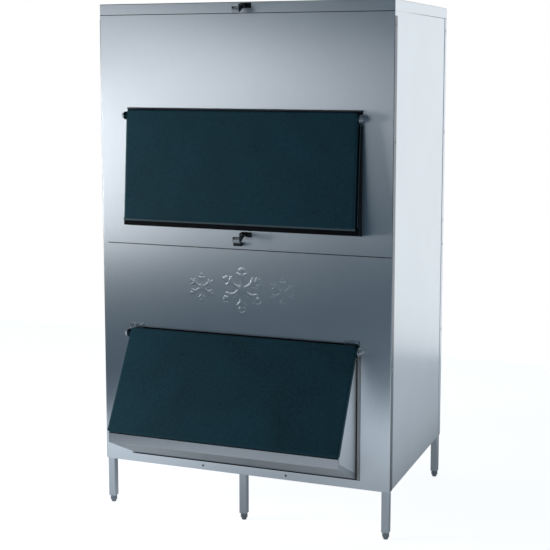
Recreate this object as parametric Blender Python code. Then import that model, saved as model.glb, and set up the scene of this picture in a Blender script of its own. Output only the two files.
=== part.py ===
"""Insulated ice storage bin on six legs: a sheet-metal cabinet with two top-hung doors, a hopper at the
lower one and a sprung roller catch above each. Metres, +Z up, the front faces -Y, the feet stand at Z = 0.

Most pieces are drawn in section as (out, up): out is the distance in front of the cabinet's front sheet
(negative inside the cabinet) and up is the height above the cabinet's lower edge."""

import math

import bmesh
import bpy
from mathutils import Matrix, Vector

# Cabinet
BODY_WIDTH = 1.100
BODY_DEPTH = 0.745
LEG_HEIGHT = 0.172
SEAM_JOINT = 0.0008
LID_SKIRT = 0.039
FLANGE = 0.030
BEND = 0.0025
SHEET = 0.0012
WALL = 0.055
GAP = 0.0003
OVERRUN = 0.060
LID_HEADROOM = 0.0078
BASE_UP = 0.004
FLOOR_UP_FRONT = 0.052
FLOOR_UP_REAR = 0.044
DROP_SIDE_MARGIN = 0.115
DROP_FRONT_MARGIN = 0.095
DROP_REAR_MARGIN = 0.130
DRAIN_REAR_MARGIN = 0.050
DRAIN_RADIUS = 0.01675
DRAIN_BORE = 0.013
DRAIN_FLANGE = 0.032
DRAIN_LOW = -0.040
DRAIN_NUT = 0.025
DRAIN_NUT_LOW = -0.008

# Doors, measured from the pivot axis: down the door, and square to it towards the front
DOOR_SIDE_MARGIN = 0.118
DOOR_ABOVE = 0.0218
DOOR_BELOW = 0.370
DOOR_FRONT = 0.007
DOOR_REAR = 0.011
DOOR_CORNER = 0.010
DOOR_EDGE = 0.006
DOOR_CHAMFER = 0.010
DOOR_SKIN = 0.003
LINING = 0.002
HUB_RADIUS = 0.0068
HUB_PROUD = 0.0065
HUB_DEEP = 0.017
PIVOT_OUT = 0.024
DOOR_LIP_UP = 0.1732
LEANS = {"upper": math.radians(4.5), "lower": math.radians(30.5)}

# Hinge hardware
PIN_RADIUS = 0.0035
PIN_HOLE = 0.0038
PIN_SHORT = 0.0038
NUT_RADIUS = 0.010
NUT_HEIGHT = 0.0095
NUT_DOME_SHARES = ((1.0, 0.45), (0.84, 0.80), (0.45, 0.97))
BRACKET = 0.0015
BRACKET_OVERLAP = 0.047
EAR_CLEARANCE = 0.008
EAR_RADIUS = 0.014
BRACKET_SCREW_SHARES = (0.23, 0.655)
UPPER_PLATE_CLEARANCE = 0.001
UPPER_SCREW_RISE = -0.016
LOWER_PLATE_RISE = 0.035
LOWER_SCREW_RISE = 0.0275

# Upper opening
FRAME_SIDE_PROUD = 0.010
FRAME_BELOW_DOOR = 0.0301
FRAME_LIP_RISE = 0.007
FRAME_PIVOT_DROP = 0.023
FRAME_TOP_RISE = 0.028
FRAME_BAND = 0.013
FRAME_LEDGE = 0.006
FRAME_LEDGE_HEIGHT = 0.0043
FRAME_EDGE = 0.002
THROAT_SIDE_INSET = 0.022
THROAT_LOW_RISE = 0.021
THROAT_HIGH_DROP = 0.013
THROAT_WALL = 0.006
THROAT_CORNER = 0.008

# Lower opening and hopper
CUT_SIDE_PROUD = 0.010
CUT_LOW = 0.031
CUT_PIVOT_DROP = 0.014
HOPPER_SIDE_INSET = 0.004
CHEEK = 0.012
HOPPER_LOW = 0.0343
HOPPER_PIVOT_DROP = 0.0238
RAIL_HEIGHT = 0.012
TRAY_SKIN = 0.018
APRON_HEIGHT = 0.0389
APRON_INSET = 0.0028
SEAL = 0.0022
SEAL_TOP = 0.0205
SEAL_WIDTH = 0.011
TRIM_TOP_RISE = 0.022
TRIM = 0.0012

# Roller catches; their heights are measured from the catch pin, which stands above the raised door's end
CATCH_PIN_OUT = 0.012
CATCH_PIN_RISE = 0.012
CATCH_BELOW_TOP = 0.014
CATCH_BELOW_FRAME = 0.014
SEAM_BELOW_CATCH = 0.0535
CATCH_PIN_RADIUS = 0.003
CATCH_PIN_HEAD = 0.0045
ROLLER_OUT = 0.044
ROLLER_RISE = -0.016
ROLLER_RADIUS = 0.0085
ROLLER_EDGE = 0.0008
ARM_EYE = 0.006
ROLLER_SPAN = (-0.0110, 0.0124)
ARM_SPAN = (-0.0130, 0.0145)
ARM_WEB_RISE = -0.0058
ARM_WEB = (0.034, 0.051)
ARM_SHEET = 0.0015
CATCH_PLATE = (-0.0015, 0.0380)
CATCH_PLATE_RISES = (-0.008, 0.010)
CATCH_EAR = 0.007
CATCH_SCREW = 0.027
SPRING_SPAN = (0.0016, 0.0114)
SPRING_CLEARANCE = 0.0006
SPRING_WIRE = 0.0006
SPRING_TURNS = 5
SPRING_TURN_POINTS = 10
SPRING_LEG = 0.008
BUFFER_SPAN = (-0.026, 0.004)
BUFFER_RISES = (-0.040, -0.028)
BUFFER_OUT = 0.0165
BUFFER_EDGE = 0.003

# Legs and feet
LEG_SIDE = 0.028
LEG_WALL = 0.002
LEG_CORNER = 0.004
LEG_PLATE = 0.070
LEG_PLATE_THICKNESS = 0.003
LEG_PLUG = 0.015
FOOT_HEIGHT = 0.0252
FOOT_RADIUS = 0.0125
FOOT_STEM = 0.005
FOOT_STEM_TOP = 0.066
FOOT_BORE = 0.0053
FOOT_SHARES = ((0.66, 0.0), (0.75, 0.28), (1.0, 0.34), (1.0, 0.95), (0.93, 1.0))

# Fasteners
SCREW_RADIUS = 0.005
SCREW_HEIGHT = 0.0018
SCREW_DOME_SHARES = ((1.0, 0.3), (0.72, 0.85))
UPPER_SCREW_SHARES = (0.055, 0.472, 0.942)
LOWER_SCREW_SHARES = (0.113, 0.526, 0.940)
BACK_SCREW_SHARES = (0.056, 0.262, 0.469, 0.527, 0.736, 0.971)
SIDE_SCREW_INSET = 0.015
FRONT_SCREW_SHARES = (-0.282, 0.304)
FRONT_SCREW_UP = 0.016

ROUND = 24
SMALL_ROUND = 12
ROUND_PROFILE = 0.5
WIRE_RESOLUTION = 1


for leftover in list(bpy.data.objects):
    bpy.data.objects.remove(leftover)


# Widths that follow the doors
HALF = BODY_WIDTH / 2
DOOR_HALF_WIDTH = HALF - DOOR_SIDE_MARGIN
HUB_END = DOOR_HALF_WIDTH + HUB_PROUD
HUB_ROOT = DOOR_HALF_WIDTH - HUB_DEEP
PIN_TIP = HUB_ROOT + PIN_SHORT
BRACKET_INNER = DOOR_HALF_WIDTH - BRACKET_OVERLAP
EAR_INNER = DOOR_HALF_WIDTH + EAR_CLEARANCE
FRAME_HALF_WIDTH = DOOR_HALF_WIDTH + FRAME_SIDE_PROUD
THROAT_HALF_WIDTH = DOOR_HALF_WIDTH - THROAT_SIDE_INSET
CUT_HALF_WIDTH = DOOR_HALF_WIDTH + CUT_SIDE_PROUD
HOPPER_HALF_WIDTH = DOOR_HALF_WIDTH - HOPPER_SIDE_INSET

# Heights, stacked from the lower door to the lid: each door, its catch above it, and the frame between
LOWER_PIVOT_UP = DOOR_LIP_UP + DOOR_BELOW * math.cos(LEANS["lower"])
MID_CATCH_UP = LOWER_PIVOT_UP + DOOR_BELOW + CATCH_PIN_RISE
SEAM_UP = MID_CATCH_UP - SEAM_BELOW_CATCH
FRAME_LOW = MID_CATCH_UP + CATCH_BELOW_FRAME
UPPER_PIVOT_UP = FRAME_LOW + FRAME_BELOW_DOOR + DOOR_BELOW * math.cos(LEANS["upper"])
TOP_CATCH_UP = UPPER_PIVOT_UP + DOOR_BELOW + CATCH_PIN_RISE
BODY_HEIGHT = TOP_CATCH_UP + CATCH_BELOW_TOP
PIVOT_UPS = {"upper": UPPER_PIVOT_UP, "lower": LOWER_PIVOT_UP}
FRAME_LIP_UP = FRAME_LOW + FRAME_LIP_RISE
FRAME_HIGH = UPPER_PIVOT_UP - FRAME_PIVOT_DROP
FRAME_TOP = UPPER_PIVOT_UP + FRAME_TOP_RISE
THROAT_LOW = FRAME_LOW + THROAT_LOW_RISE
THROAT_HIGH = FRAME_HIGH - THROAT_HIGH_DROP
CUT_HIGH = LOWER_PIVOT_UP - CUT_PIVOT_DROP
HOPPER_HIGH = LOWER_PIVOT_UP - HOPPER_PIVOT_DROP
TRIM_TOP = LOWER_PIVOT_UP + TRIM_TOP_RISE

# The apron stands under the closed lower door's edge
APRON_OUT = PIVOT_OUT + DOOR_BELOW * math.sin(LEANS["lower"]) - APRON_INSET
APRON_FOLD = DOOR_LIP_UP - APRON_HEIGHT

# Openings in the top and the floor
LINER_HALF = HALF - WALL
LINER_REAR = WALL - BODY_DEPTH
LINER_TOP = BODY_HEIGHT - WALL
DROP_HALF_WIDTH = LINER_HALF - DROP_SIDE_MARGIN
DROP_FRONT = -WALL - DROP_FRONT_MARGIN
DROP_REAR = LINER_REAR + DROP_REAR_MARGIN
DRAIN_OUT = LINER_REAR + DRAIN_REAR_MARGIN

# Reach of the lower door's front edge, which sets the origin midway between front and back
REACH = (
    PIVOT_OUT
    + (DOOR_FRONT - DOOR_EDGE) * math.cos(LEANS["lower"])
    + (DOOR_BELOW - DOOR_EDGE) * math.sin(LEANS["lower"])
    + DOOR_EDGE
)
FRONT_Y = REACH - (REACH + BODY_DEPTH) / 2


def material(name, colour, roughness, metallic=0.0):
    made = bpy.data.materials.new(name)
    made.use_nodes = True
    shader = made.node_tree.nodes["Principled BSDF"]
    shader.inputs["Base Color"].default_value = (*colour, 1.0)
    shader.inputs["Roughness"].default_value = roughness
    shader.inputs["Metallic"].default_value = metallic
    made.diffuse_color = (*colour, 1.0)
    return made


SHEET_STEEL = material("satin_stainless_sheet", (0.62, 0.64, 0.67), 0.32, 1.0)
STAINLESS = material("brushed_stainless", (0.62, 0.63, 0.65), 0.38, 1.0)
LINER_STEEL = material("liner_stainless", (0.60, 0.61, 0.62), 0.45, 1.0)
DOOR_PLASTIC = material("dark_door_plastic", (0.020, 0.045, 0.060), 0.55)
LINING_PLASTIC = material("door_lining_plastic", (0.70, 0.71, 0.72), 0.50)
BLACK_PLASTIC = material("black_frame_plastic", (0.012, 0.014, 0.016), 0.50)
FOAM = material("yellow_foam", (0.72, 0.60, 0.34), 0.90)
RUBBER = material("black_rubber", (0.010, 0.010, 0.011), 0.80)
BRIGHT_STEEL = material("bright_steel", (0.74, 0.75, 0.77), 0.20, 1.0)
BLACK_STEEL = material("black_steel", (0.030, 0.032, 0.036), 0.42, 0.6)
DRAIN_PLASTIC = material("drain_plastic", (0.55, 0.56, 0.58), 0.45)


# Shapes

def link(name, mesh, look=None, smooth=False):
    obj = bpy.data.objects.new(name, mesh)
    bpy.context.scene.collection.objects.link(obj)
    if look:
        mesh.materials.clear()
        mesh.materials.append(look)
    if smooth:
        mesh.shade_smooth()
        mesh.set_sharp_from_angle(angle=math.radians(32))
    return obj


def from_bmesh(name, shape, look=None, smooth=False):
    bmesh.ops.recalc_face_normals(shape, faces=shape.faces)
    mesh = bpy.data.meshes.new(name)
    shape.to_mesh(mesh)
    shape.free()
    return link(name, mesh, look, smooth)


def prism(axis, outline, low, high):
    """Extrude an outline, given in the two other axes in X, Y, Z order, along one axis."""
    order = {"X": (2, 0, 1), "Y": (0, 2, 1), "Z": (0, 1, 2)}[axis]
    shape = bmesh.new()
    verts = []
    for a, b in outline:
        values = (a, b, low)
        verts.append(shape.verts.new([values[i] for i in order]))
    base = shape.faces.new(verts)
    grown = bmesh.ops.extrude_face_region(shape, geom=[base])["geom"]
    moved = [item for item in grown if isinstance(item, bmesh.types.BMVert)]
    step = Vector((0.0, 0.0, 0.0))
    step["XYZ".index(axis)] = high - low
    bmesh.ops.translate(shape, verts=moved, vec=step)
    return shape


def block(x, y, z):
    return prism("Z", [(x[0], y[0]), (x[1], y[0]), (x[1], y[1]), (x[0], y[1])], z[0], z[1])


def world(out, up):
    """Place a section point (out, up) in the model's Y and Z."""
    return (FRONT_Y - out, LEG_HEIGHT + up)


def section(outline, x):
    """Extrude an (out, up) section across the cabinet."""
    return prism("X", [world(out, up) for out, up in outline], x[0], x[1])


def panel(x, out, up):
    """Flat piece bounded in x, out and up."""
    return block(x, (FRONT_Y - out[1], FRONT_Y - out[0]), (LEG_HEIGHT + up[0], LEG_HEIGHT + up[1]))


def rounded(points, radii, steps=3):
    """Replace each corner of a closed outline by an arc of its radius."""
    result = []
    count = len(points)
    for i, (here, radius) in enumerate(zip(points, radii)):
        if not radius:
            result.append(here)
            continue
        corner = Vector(here)
        before = (Vector(points[i - 1]) - corner).normalized()
        after = (Vector(points[(i + 1) % count]) - corner).normalized()
        half = before.angle(after) / 2
        middle = corner + (before + after).normalized() * (radius / math.sin(half))
        start = corner + before * (radius / math.tan(half)) - middle
        end = corner + after * (radius / math.tan(half)) - middle
        sweep = start.angle_signed(end)
        for k in range(steps + 1):
            turn = -sweep * k / steps
            c, s = math.cos(turn), math.sin(turn)
            result.append((middle.x + start.x * c - start.y * s, middle.y + start.x * s + start.y * c))
    return result


def rectangle(a, b, radius=0.0, steps=3):
    points = [(a[0], b[0]), (a[1], b[0]), (a[1], b[1]), (a[0], b[1])]
    return rounded(points, [radius] * 4, steps)


def circle(centre, radius, segments=ROUND):
    steps = [2 * math.pi * (k + 0.5) / segments for k in range(segments)]
    return [(centre[0] + radius * math.cos(t), centre[1] + radius * math.sin(t)) for t in steps]


def hull(points):
    """Convex outline round a set of points."""
    points = sorted(set(points))

    def chain(items):
        kept = []
        for p in items:
            while len(kept) > 1:
                (ax, ay), (bx, by) = kept[-2:]
                if (bx - ax) * (p[1] - ay) - (by - ay) * (p[0] - ax) > 0:
                    break
                kept.pop()
            kept.append(p)
        return kept[:-1]

    return chain(points) + chain(points[::-1])


def turned(profile, segments=ROUND, matrix=None):
    """Turn a profile of (radius, height) points about +Z; a first or last radius of zero closes it,
    and otherwise the profile is a closed loop."""
    shape = bmesh.new()
    rings = []
    for radius, height in profile:
        if radius:
            angles = [2 * math.pi * k / segments for k in range(segments)]
            ring = [shape.verts.new((radius * math.cos(t), radius * math.sin(t), height)) for t in angles]
        else:
            ring = [shape.verts.new((0.0, 0.0, height))]
        rings.append(ring)
    pairs = list(zip(rings, rings[1:]))
    if profile[0][0] and profile[-1][0]:
        pairs.append((rings[-1], rings[0]))
    for low, high in pairs:
        for k in range(segments):
            n = (k + 1) % segments
            if len(low) == 1:
                shape.faces.new((low[0], high[k], high[n]))
            elif len(high) == 1:
                shape.faces.new((low[k], low[n], high[0]))
            else:
                shape.faces.new((low[k], low[n], high[n], high[k]))
    if matrix:
        bmesh.ops.transform(shape, matrix=matrix, verts=shape.verts)
    return shape


def rod(start, end, radius, segments=ROUND):
    """Plain round bar from one point to another."""
    start, end = Vector(start), Vector(end)
    turn = (end - start).to_track_quat("Z", "Y").to_matrix().to_4x4()
    length = (end - start).length
    profile = [(0.0, 0.0), (radius, 0.0), (radius, length), (0.0, length)]
    return turned(profile, segments, Matrix.Translation(start) @ turn)


def dome(base, direction, radius, height, segments=SMALL_ROUND):
    """Screw head that grows out of a sheet, its root sunk half a sheet deep."""
    turn = Vector(direction).to_track_quat("Z", "Y").to_matrix().to_4x4()
    profile = [(0.0, -SHEET / 2), (radius, -SHEET / 2)]
    profile += [(radius * a, height * b) for a, b in SCREW_DOME_SHARES]
    profile += [(0.0, height)]
    return turned(profile, segments, Matrix.Translation(Vector(base)) @ turn)


def rounded_edges(shape, edges, width, steps):
    bmesh.ops.bevel(
        shape, geom=edges, offset=width, segments=steps, profile=ROUND_PROFILE, affect="EDGES"
    )


def bevelled(shape, chosen, width, steps):
    edges = [edge for edge in shape.edges if all(chosen(vert.co) for vert in edge.verts)]
    rounded_edges(shape, edges, width, steps)
    return shape


def merged(*shapes):
    """Put several shapes into one tool."""
    whole = bmesh.new()
    for shape in shapes:
        mesh = bpy.data.meshes.new("tool")
        bmesh.ops.recalc_face_normals(shape, faces=shape.faces)
        shape.to_mesh(mesh)
        shape.free()
        whole.from_mesh(mesh)
        bpy.data.meshes.remove(mesh)
    return whole


def combined(obj, operation, *shapes):
    """Join shapes to an object, or cut them from it, and keep the finished mesh."""
    tools = [from_bmesh("tool", shape) for shape in shapes]
    for tool in tools:
        modifier = obj.modifiers.new("tool", "BOOLEAN")
        modifier.operation = operation
        modifier.solver = "EXACT"
        modifier.object = tool
    graph = bpy.context.evaluated_depsgraph_get()
    result = bpy.data.meshes.new_from_object(obj.evaluated_get(graph))
    obj.modifiers.clear()
    obj.data = result
    for tool in tools:
        bpy.data.objects.remove(tool)
    return obj


def joined(obj, *shapes):
    return combined(obj, "UNION", *shapes)


def cut(obj, *shapes):
    return combined(obj, "DIFFERENCE", *shapes)


def dressed(obj, look, smooth=False):
    obj.data.materials.clear()
    obj.data.materials.append(look)
    if smooth:
        obj.data.shade_smooth()
        obj.data.set_sharp_from_angle(angle=math.radians(32))
    return obj


def placed(obj, point, parent=None):
    """Move an object's origin to a point, and hang it from a parent."""
    obj.data.transform(Matrix.Translation(-Vector(point)))
    obj.location = point
    if parent:
        bpy.context.view_layer.update()
        obj.parent = parent
        obj.matrix_parent_inverse = parent.matrix_world.inverted()
    return obj


INNER_HALF = HALF - 2 * SHEET - 2 * GAP
LID_LOW = BODY_HEIGHT - LID_SKIRT + SEAM_JOINT / 2


# Outer sheets

def wrapped_sheet(name, face, inward, low, high):
    """Front or back sheet with a flange folded round each side of the cabinet."""
    edge = face + inward * FLANGE
    inside = face + inward * SHEET
    points = [
        (-HALF, edge),
        (-HALF, face),
        (HALF, face),
        (HALF, edge),
        (HALF - SHEET, edge),
        (HALF - SHEET, inside),
        (SHEET - HALF, inside),
        (SHEET - HALF, edge),
    ]
    radii = [0, BEND, BEND, 0, 0, BEND - SHEET, BEND - SHEET, 0]
    outline = [(x, FRONT_Y - out) for x, out in rounded(points, radii, 4)]
    return from_bmesh(name, prism("Z", outline, LEG_HEIGHT + low, LEG_HEIGHT + high), SHEET_STEEL)


def flange_screws(low, high, shares, out):
    """Heads along both side flanges, at shares of the sheet's height."""
    heads = []
    for share in shares:
        y, z = world(out, low + share * (high - low))
        heads.append(dome((HALF, y, z), (1, 0, 0), SCREW_RADIUS, SCREW_HEIGHT))
        heads.append(dome((-HALF, y, z), (-1, 0, 0), SCREW_RADIUS, SCREW_HEIGHT))
    return heads


UPPER_LOW = SEAM_UP + SEAM_JOINT / 2
LOWER_HIGH = SEAM_UP - SEAM_JOINT / 2
UPPER_HIGH = BODY_HEIGHT - LID_SKIRT - SEAM_JOINT / 2

upper_front = wrapped_sheet("upper_front_panel", 0.0, -1, UPPER_LOW, UPPER_HIGH)
cut(
    upper_front,
    panel(
        (-THROAT_HALF_WIDTH - GAP, THROAT_HALF_WIDTH + GAP),
        (-OVERRUN, OVERRUN),
        (THROAT_LOW - GAP, THROAT_HIGH + GAP),
    ),
)
upper_heads = flange_screws(UPPER_LOW, UPPER_HIGH, UPPER_SCREW_SHARES, -SIDE_SCREW_INSET)
joined(upper_front, merged(*upper_heads))
dressed(upper_front, SHEET_STEEL)

lower_front = wrapped_sheet("lower_front_panel", 0.0, -1, 0.0, LOWER_HIGH)
front_cut_x = (-CUT_HALF_WIDTH, CUT_HALF_WIDTH)
cut(lower_front, panel(front_cut_x, (-OVERRUN, OVERRUN), (CUT_LOW, CUT_HIGH)))
front_heads = [
    dome((share * HALF, *world(0.0, FRONT_SCREW_UP)), (0, -1, 0), SCREW_RADIUS, SCREW_HEIGHT)
    for share in FRONT_SCREW_SHARES
]
lower_heads = flange_screws(0.0, LOWER_HIGH, LOWER_SCREW_SHARES, -SIDE_SCREW_INSET)
joined(lower_front, merged(*lower_heads, *front_heads))
dressed(lower_front, SHEET_STEEL)

back = wrapped_sheet("back_panel", -BODY_DEPTH, 1, 0.0, UPPER_HIGH)
back_heads = flange_screws(0.0, UPPER_HIGH, BACK_SCREW_SHARES, SIDE_SCREW_INSET - BODY_DEPTH)
joined(back, merged(*back_heads))
dressed(back, SHEET_STEEL)

SIDE_OUT = (SHEET + GAP - BODY_DEPTH, -SHEET - GAP)
for name, side in (("left", -1), ("right", 1)):
    across = sorted((side * (HALF - SHEET - GAP), side * (HALF - 2 * SHEET - GAP)))
    from_bmesh(
        f"{name}_side_panel",
        panel(across, (BEND - BODY_DEPTH, -BEND), (0.0, BODY_HEIGHT - LID_HEADROOM)),
        SHEET_STEEL,
    )

# Top cover: a shallow lid with a folded skirt, and a lined drop opening for the ice maker above
cover_shape = panel((-HALF, HALF), (-BODY_DEPTH, 0.0), (LID_LOW, BODY_HEIGHT))
TOP_Z = LEG_HEIGHT + BODY_HEIGHT
upright = [
    edge
    for edge in cover_shape.edges
    if abs(edge.verts[0].co.x - edge.verts[1].co.x) < GAP
    and abs(edge.verts[0].co.y - edge.verts[1].co.y) < GAP
]
top_edges = [
    edge for edge in cover_shape.edges if all(vert.co.z > TOP_Z - GAP for vert in edge.verts)
]
rounded_edges(cover_shape, upright + top_edges, BEND, 3)
cover = from_bmesh("top_cover", cover_shape)
DROP_X = (-DROP_HALF_WIDTH, DROP_HALF_WIDTH)
COLLAR_X = (-DROP_HALF_WIDTH - SHEET, DROP_HALF_WIDTH + SHEET)
COLLAR_OUT = (DROP_REAR - SHEET, DROP_FRONT + SHEET)
COLLAR_LOW = LINER_TOP + GAP
cut(
    cover,
    panel(
        (SHEET - HALF, HALF - SHEET),
        (SHEET - BODY_DEPTH, -SHEET),
        (LID_LOW - LID_SKIRT, BODY_HEIGHT - SHEET),
    ),
)
joined(cover, panel(COLLAR_X, COLLAR_OUT, (COLLAR_LOW, BODY_HEIGHT - SHEET / 2)))
drop_cut_up = (COLLAR_LOW - OVERRUN, BODY_HEIGHT + OVERRUN)
cut(cover, panel(DROP_X, (DROP_REAR, DROP_FRONT), drop_cut_up))
dressed(cover, SHEET_STEEL)

# Base pan, which closes the bottom above the leg plates
base = from_bmesh(
    "base_pan", panel((-INNER_HALF, INNER_HALF), SIDE_OUT, (BASE_UP, BASE_UP + SHEET))
)
drain_y, drain_z = world(DRAIN_OUT, DRAIN_LOW)
cut(
    base,
    rod(
        (0.0, drain_y, drain_z),
        (0.0, drain_y, LEG_HEIGHT + OVERRUN),
        DRAIN_RADIUS + 2 * GAP,
    ),
)
dressed(base, SHEET_STEEL)


# Inner tank

def floor_up(out):
    """Height of the sloping floor's upper face."""
    share = (-WALL - out) / (-WALL - LINER_REAR)
    return FLOOR_UP_FRONT + share * (FLOOR_UP_REAR - FLOOR_UP_FRONT)


INNER_FRONT = -WALL - SHEET - GAP
INNER_REAR = LINER_REAR + SHEET + GAP
for name, side in (("left", -1), ("right", 1)):
    outline = [
        (INNER_FRONT, floor_up(INNER_FRONT) + GAP),
        (INNER_REAR, floor_up(INNER_REAR) + GAP),
        (INNER_REAR, LINER_TOP - SHEET - GAP),
        (INNER_FRONT, LINER_TOP - SHEET - GAP),
    ]
    across = sorted((side * LINER_HALF, side * (LINER_HALF - SHEET)))
    from_bmesh(f"{name}_liner", section(outline, across), LINER_STEEL)

from_bmesh(
    "rear_liner",
    panel(
        (-LINER_HALF, LINER_HALF),
        (LINER_REAR, LINER_REAR + SHEET),
        (FLOOR_UP_REAR + 2 * GAP, LINER_TOP - SHEET - GAP),
    ),
    LINER_STEEL,
)
floor = from_bmesh(
    "floor_liner",
    section(
        [
            (-WALL, FLOOR_UP_FRONT - SHEET),
            (LINER_REAR, FLOOR_UP_REAR - SHEET),
            (LINER_REAR, FLOOR_UP_REAR),
            (-WALL, FLOOR_UP_FRONT),
        ],
        (-LINER_HALF, LINER_HALF),
    ),
)
DRAIN_TOP = (0.0, drain_y, LEG_HEIGHT + FLOOR_UP_FRONT + OVERRUN)
cut(floor, rod((0.0, drain_y, LEG_HEIGHT), DRAIN_TOP, DRAIN_BORE))
dressed(floor, LINER_STEEL)

front_liner = from_bmesh(
    "upper_front_liner",
    panel(
        (-LINER_HALF, LINER_HALF),
        (-WALL - SHEET, -WALL),
        (SEAM_UP + GAP / 2, LINER_TOP - SHEET - GAP),
    ),
)
cut(
    front_liner,
    panel(
        (-THROAT_HALF_WIDTH - GAP, THROAT_HALF_WIDTH + GAP),
        (-WALL - OVERRUN, 0.0),
        (THROAT_LOW - GAP, THROAT_HIGH + GAP),
    ),
)
dressed(front_liner, LINER_STEEL)

lower_liner = from_bmesh(
    "lower_front_liner",
    panel(
        (-LINER_HALF, LINER_HALF),
        (-WALL - SHEET, -WALL),
        (FLOOR_UP_FRONT + GAP, SEAM_UP - GAP / 2),
    ),
)
cut(
    lower_liner,
    panel(
        (-HOPPER_HALF_WIDTH - GAP, HOPPER_HALF_WIDTH + GAP),
        (-WALL - OVERRUN, 0.0),
        (0.0, HOPPER_HIGH + GAP),
    ),
)
dressed(lower_liner, LINER_STEEL)

ceiling = from_bmesh(
    "top_liner",
    panel((-LINER_HALF, LINER_HALF), (LINER_REAR, -WALL), (LINER_TOP - SHEET, LINER_TOP)),
)
cut(ceiling, panel(DROP_X, (DROP_REAR, DROP_FRONT), (0.0, 2 * BODY_HEIGHT)))
dressed(ceiling, LINER_STEEL)

# Drain fitting under the floor: flange, pipe and a hexagonal backing nut below the base pan
FLANGE_TOP = floor_up(DRAIN_OUT) - SHEET - 3 * GAP
fitting = from_bmesh(
    "drain_fitting",
    turned(
        [
            (DRAIN_BORE, DRAIN_LOW),
            (DRAIN_RADIUS, DRAIN_LOW),
            (DRAIN_RADIUS, FLANGE_TOP - SHEET),
            (DRAIN_FLANGE, FLANGE_TOP - SHEET),
            (DRAIN_FLANGE, FLANGE_TOP),
            (DRAIN_BORE, FLANGE_TOP),
        ],
        ROUND,
        Matrix.Translation((0.0, drain_y, LEG_HEIGHT)),
    ),
)
joined(
    fitting,
    turned(
        [
            (DRAIN_RADIUS - SHEET, DRAIN_NUT_LOW),
            (DRAIN_NUT, DRAIN_NUT_LOW),
            (DRAIN_NUT, BASE_UP - GAP),
            (DRAIN_RADIUS - SHEET, BASE_UP - GAP),
        ],
        6,
        Matrix.Translation((0.0, drain_y, LEG_HEIGHT)),
    ),
)
dressed(fitting, DRAIN_PLASTIC, True)

# Insulation foamed in place between the sheets and the tank
foam = from_bmesh(
    "insulation_foam",
    panel((-INNER_HALF, INNER_HALF), SIDE_OUT, (BASE_UP + SHEET + GAP, BODY_HEIGHT - SHEET - GAP)),
)
cut(
    foam,
    section(
        [
            (GAP - WALL, FLOOR_UP_FRONT - SHEET - GAP),
            (LINER_REAR - GAP, FLOOR_UP_REAR - SHEET - GAP),
            (LINER_REAR - GAP, LINER_TOP + GAP),
            (GAP - WALL, LINER_TOP + GAP),
        ],
        (-LINER_HALF - GAP, LINER_HALF + GAP),
    ),
)
cut(
    foam,
    panel(
        (-THROAT_HALF_WIDTH - GAP, THROAT_HALF_WIDTH + GAP),
        (-WALL - SHEET, OVERRUN),
        (THROAT_LOW - GAP, THROAT_HIGH + GAP),
    ),
    panel(
        (-HOPPER_HALF_WIDTH - GAP, HOPPER_HALF_WIDTH + GAP),
        (-WALL - SHEET, OVERRUN),
        (HOPPER_LOW - GAP, HOPPER_HIGH + GAP),
    ),
    panel(
        (COLLAR_X[0] - GAP, COLLAR_X[1] + GAP),
        (COLLAR_OUT[0] - GAP, COLLAR_OUT[1] + GAP),
        (LINER_TOP - SHEET, BODY_HEIGHT + OVERRUN),
    ),
    rod((0.0, drain_y, drain_z), DRAIN_TOP, DRAIN_RADIUS + GAP),
    rod(
        (0.0, drain_y, LEG_HEIGHT + FLANGE_TOP - SHEET - GAP),
        DRAIN_TOP,
        DRAIN_FLANGE + GAP,
    ),
)
dressed(foam, FOAM)


# Upper opening: one black moulding that lines the throat through the wall and tapers to meet the door

def door_point(which, down, front):
    """Section point at a distance down a closed door and in front of its pivot plane."""
    lean = LEANS[which]
    return (
        PIVOT_OUT + front * math.cos(lean) + down * math.sin(lean),
        PIVOT_UPS[which] + front * math.sin(lean) - down * math.cos(lean),
    )


def out_at(which, front, up):
    """Where a plane parallel to a closed door stands at a given height."""
    lean = LEANS[which]
    down = (PIVOT_UPS[which] + front * math.sin(lean) - up) / math.cos(lean)
    return door_point(which, down, front)[0]


FACE = -DOOR_REAR - GAP
wedge = [
    (GAP, FRAME_LOW),
    (out_at("upper", FACE, FRAME_LIP_UP), FRAME_LIP_UP),
    (out_at("upper", FACE, FRAME_HIGH), FRAME_HIGH),
    (GAP, FRAME_HIGH),
]
FRAME_X = (-FRAME_HALF_WIDTH, FRAME_HALF_WIDTH)
wedge_shape = section(wedge, FRAME_X)
bevelled(wedge_shape, lambda co: co.y < FRONT_Y - 2 * GAP, FRAME_EDGE, 2)
frame = from_bmesh("upper_door_frame", wedge_shape)
FLANGE_X = (GAP - BRACKET_INNER, BRACKET_INNER - GAP)
FLANGE_OUT = (GAP, GAP + TRIM)
joined(
    frame,
    panel(
        (-THROAT_HALF_WIDTH, THROAT_HALF_WIDTH),
        (-WALL - 2 * SHEET, PIVOT_OUT / 2),
        (THROAT_LOW, THROAT_HIGH),
    ),
    panel(FLANGE_X, FLANGE_OUT, (FRAME_HIGH - FRAME_BAND, FRAME_TOP)),
    panel(FRAME_X, FLANGE_OUT, (FRAME_TOP - FRAME_BAND, FRAME_TOP)),
    panel(FRAME_X, (GAP, FRAME_LEDGE), (FRAME_TOP - FRAME_LEDGE_HEIGHT, FRAME_TOP)),
)
throat = rectangle(
    (THROAT_WALL - THROAT_HALF_WIDTH, THROAT_HALF_WIDTH - THROAT_WALL),
    (LEG_HEIGHT + THROAT_LOW + THROAT_WALL, LEG_HEIGHT + THROAT_HIGH - THROAT_WALL),
    THROAT_CORNER,
)
cut(frame, prism("Y", throat, FRONT_Y - OVERRUN, FRONT_Y + WALL + OVERRUN))
dressed(frame, BLACK_PLASTIC)


# Hopper at the lower opening

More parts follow.
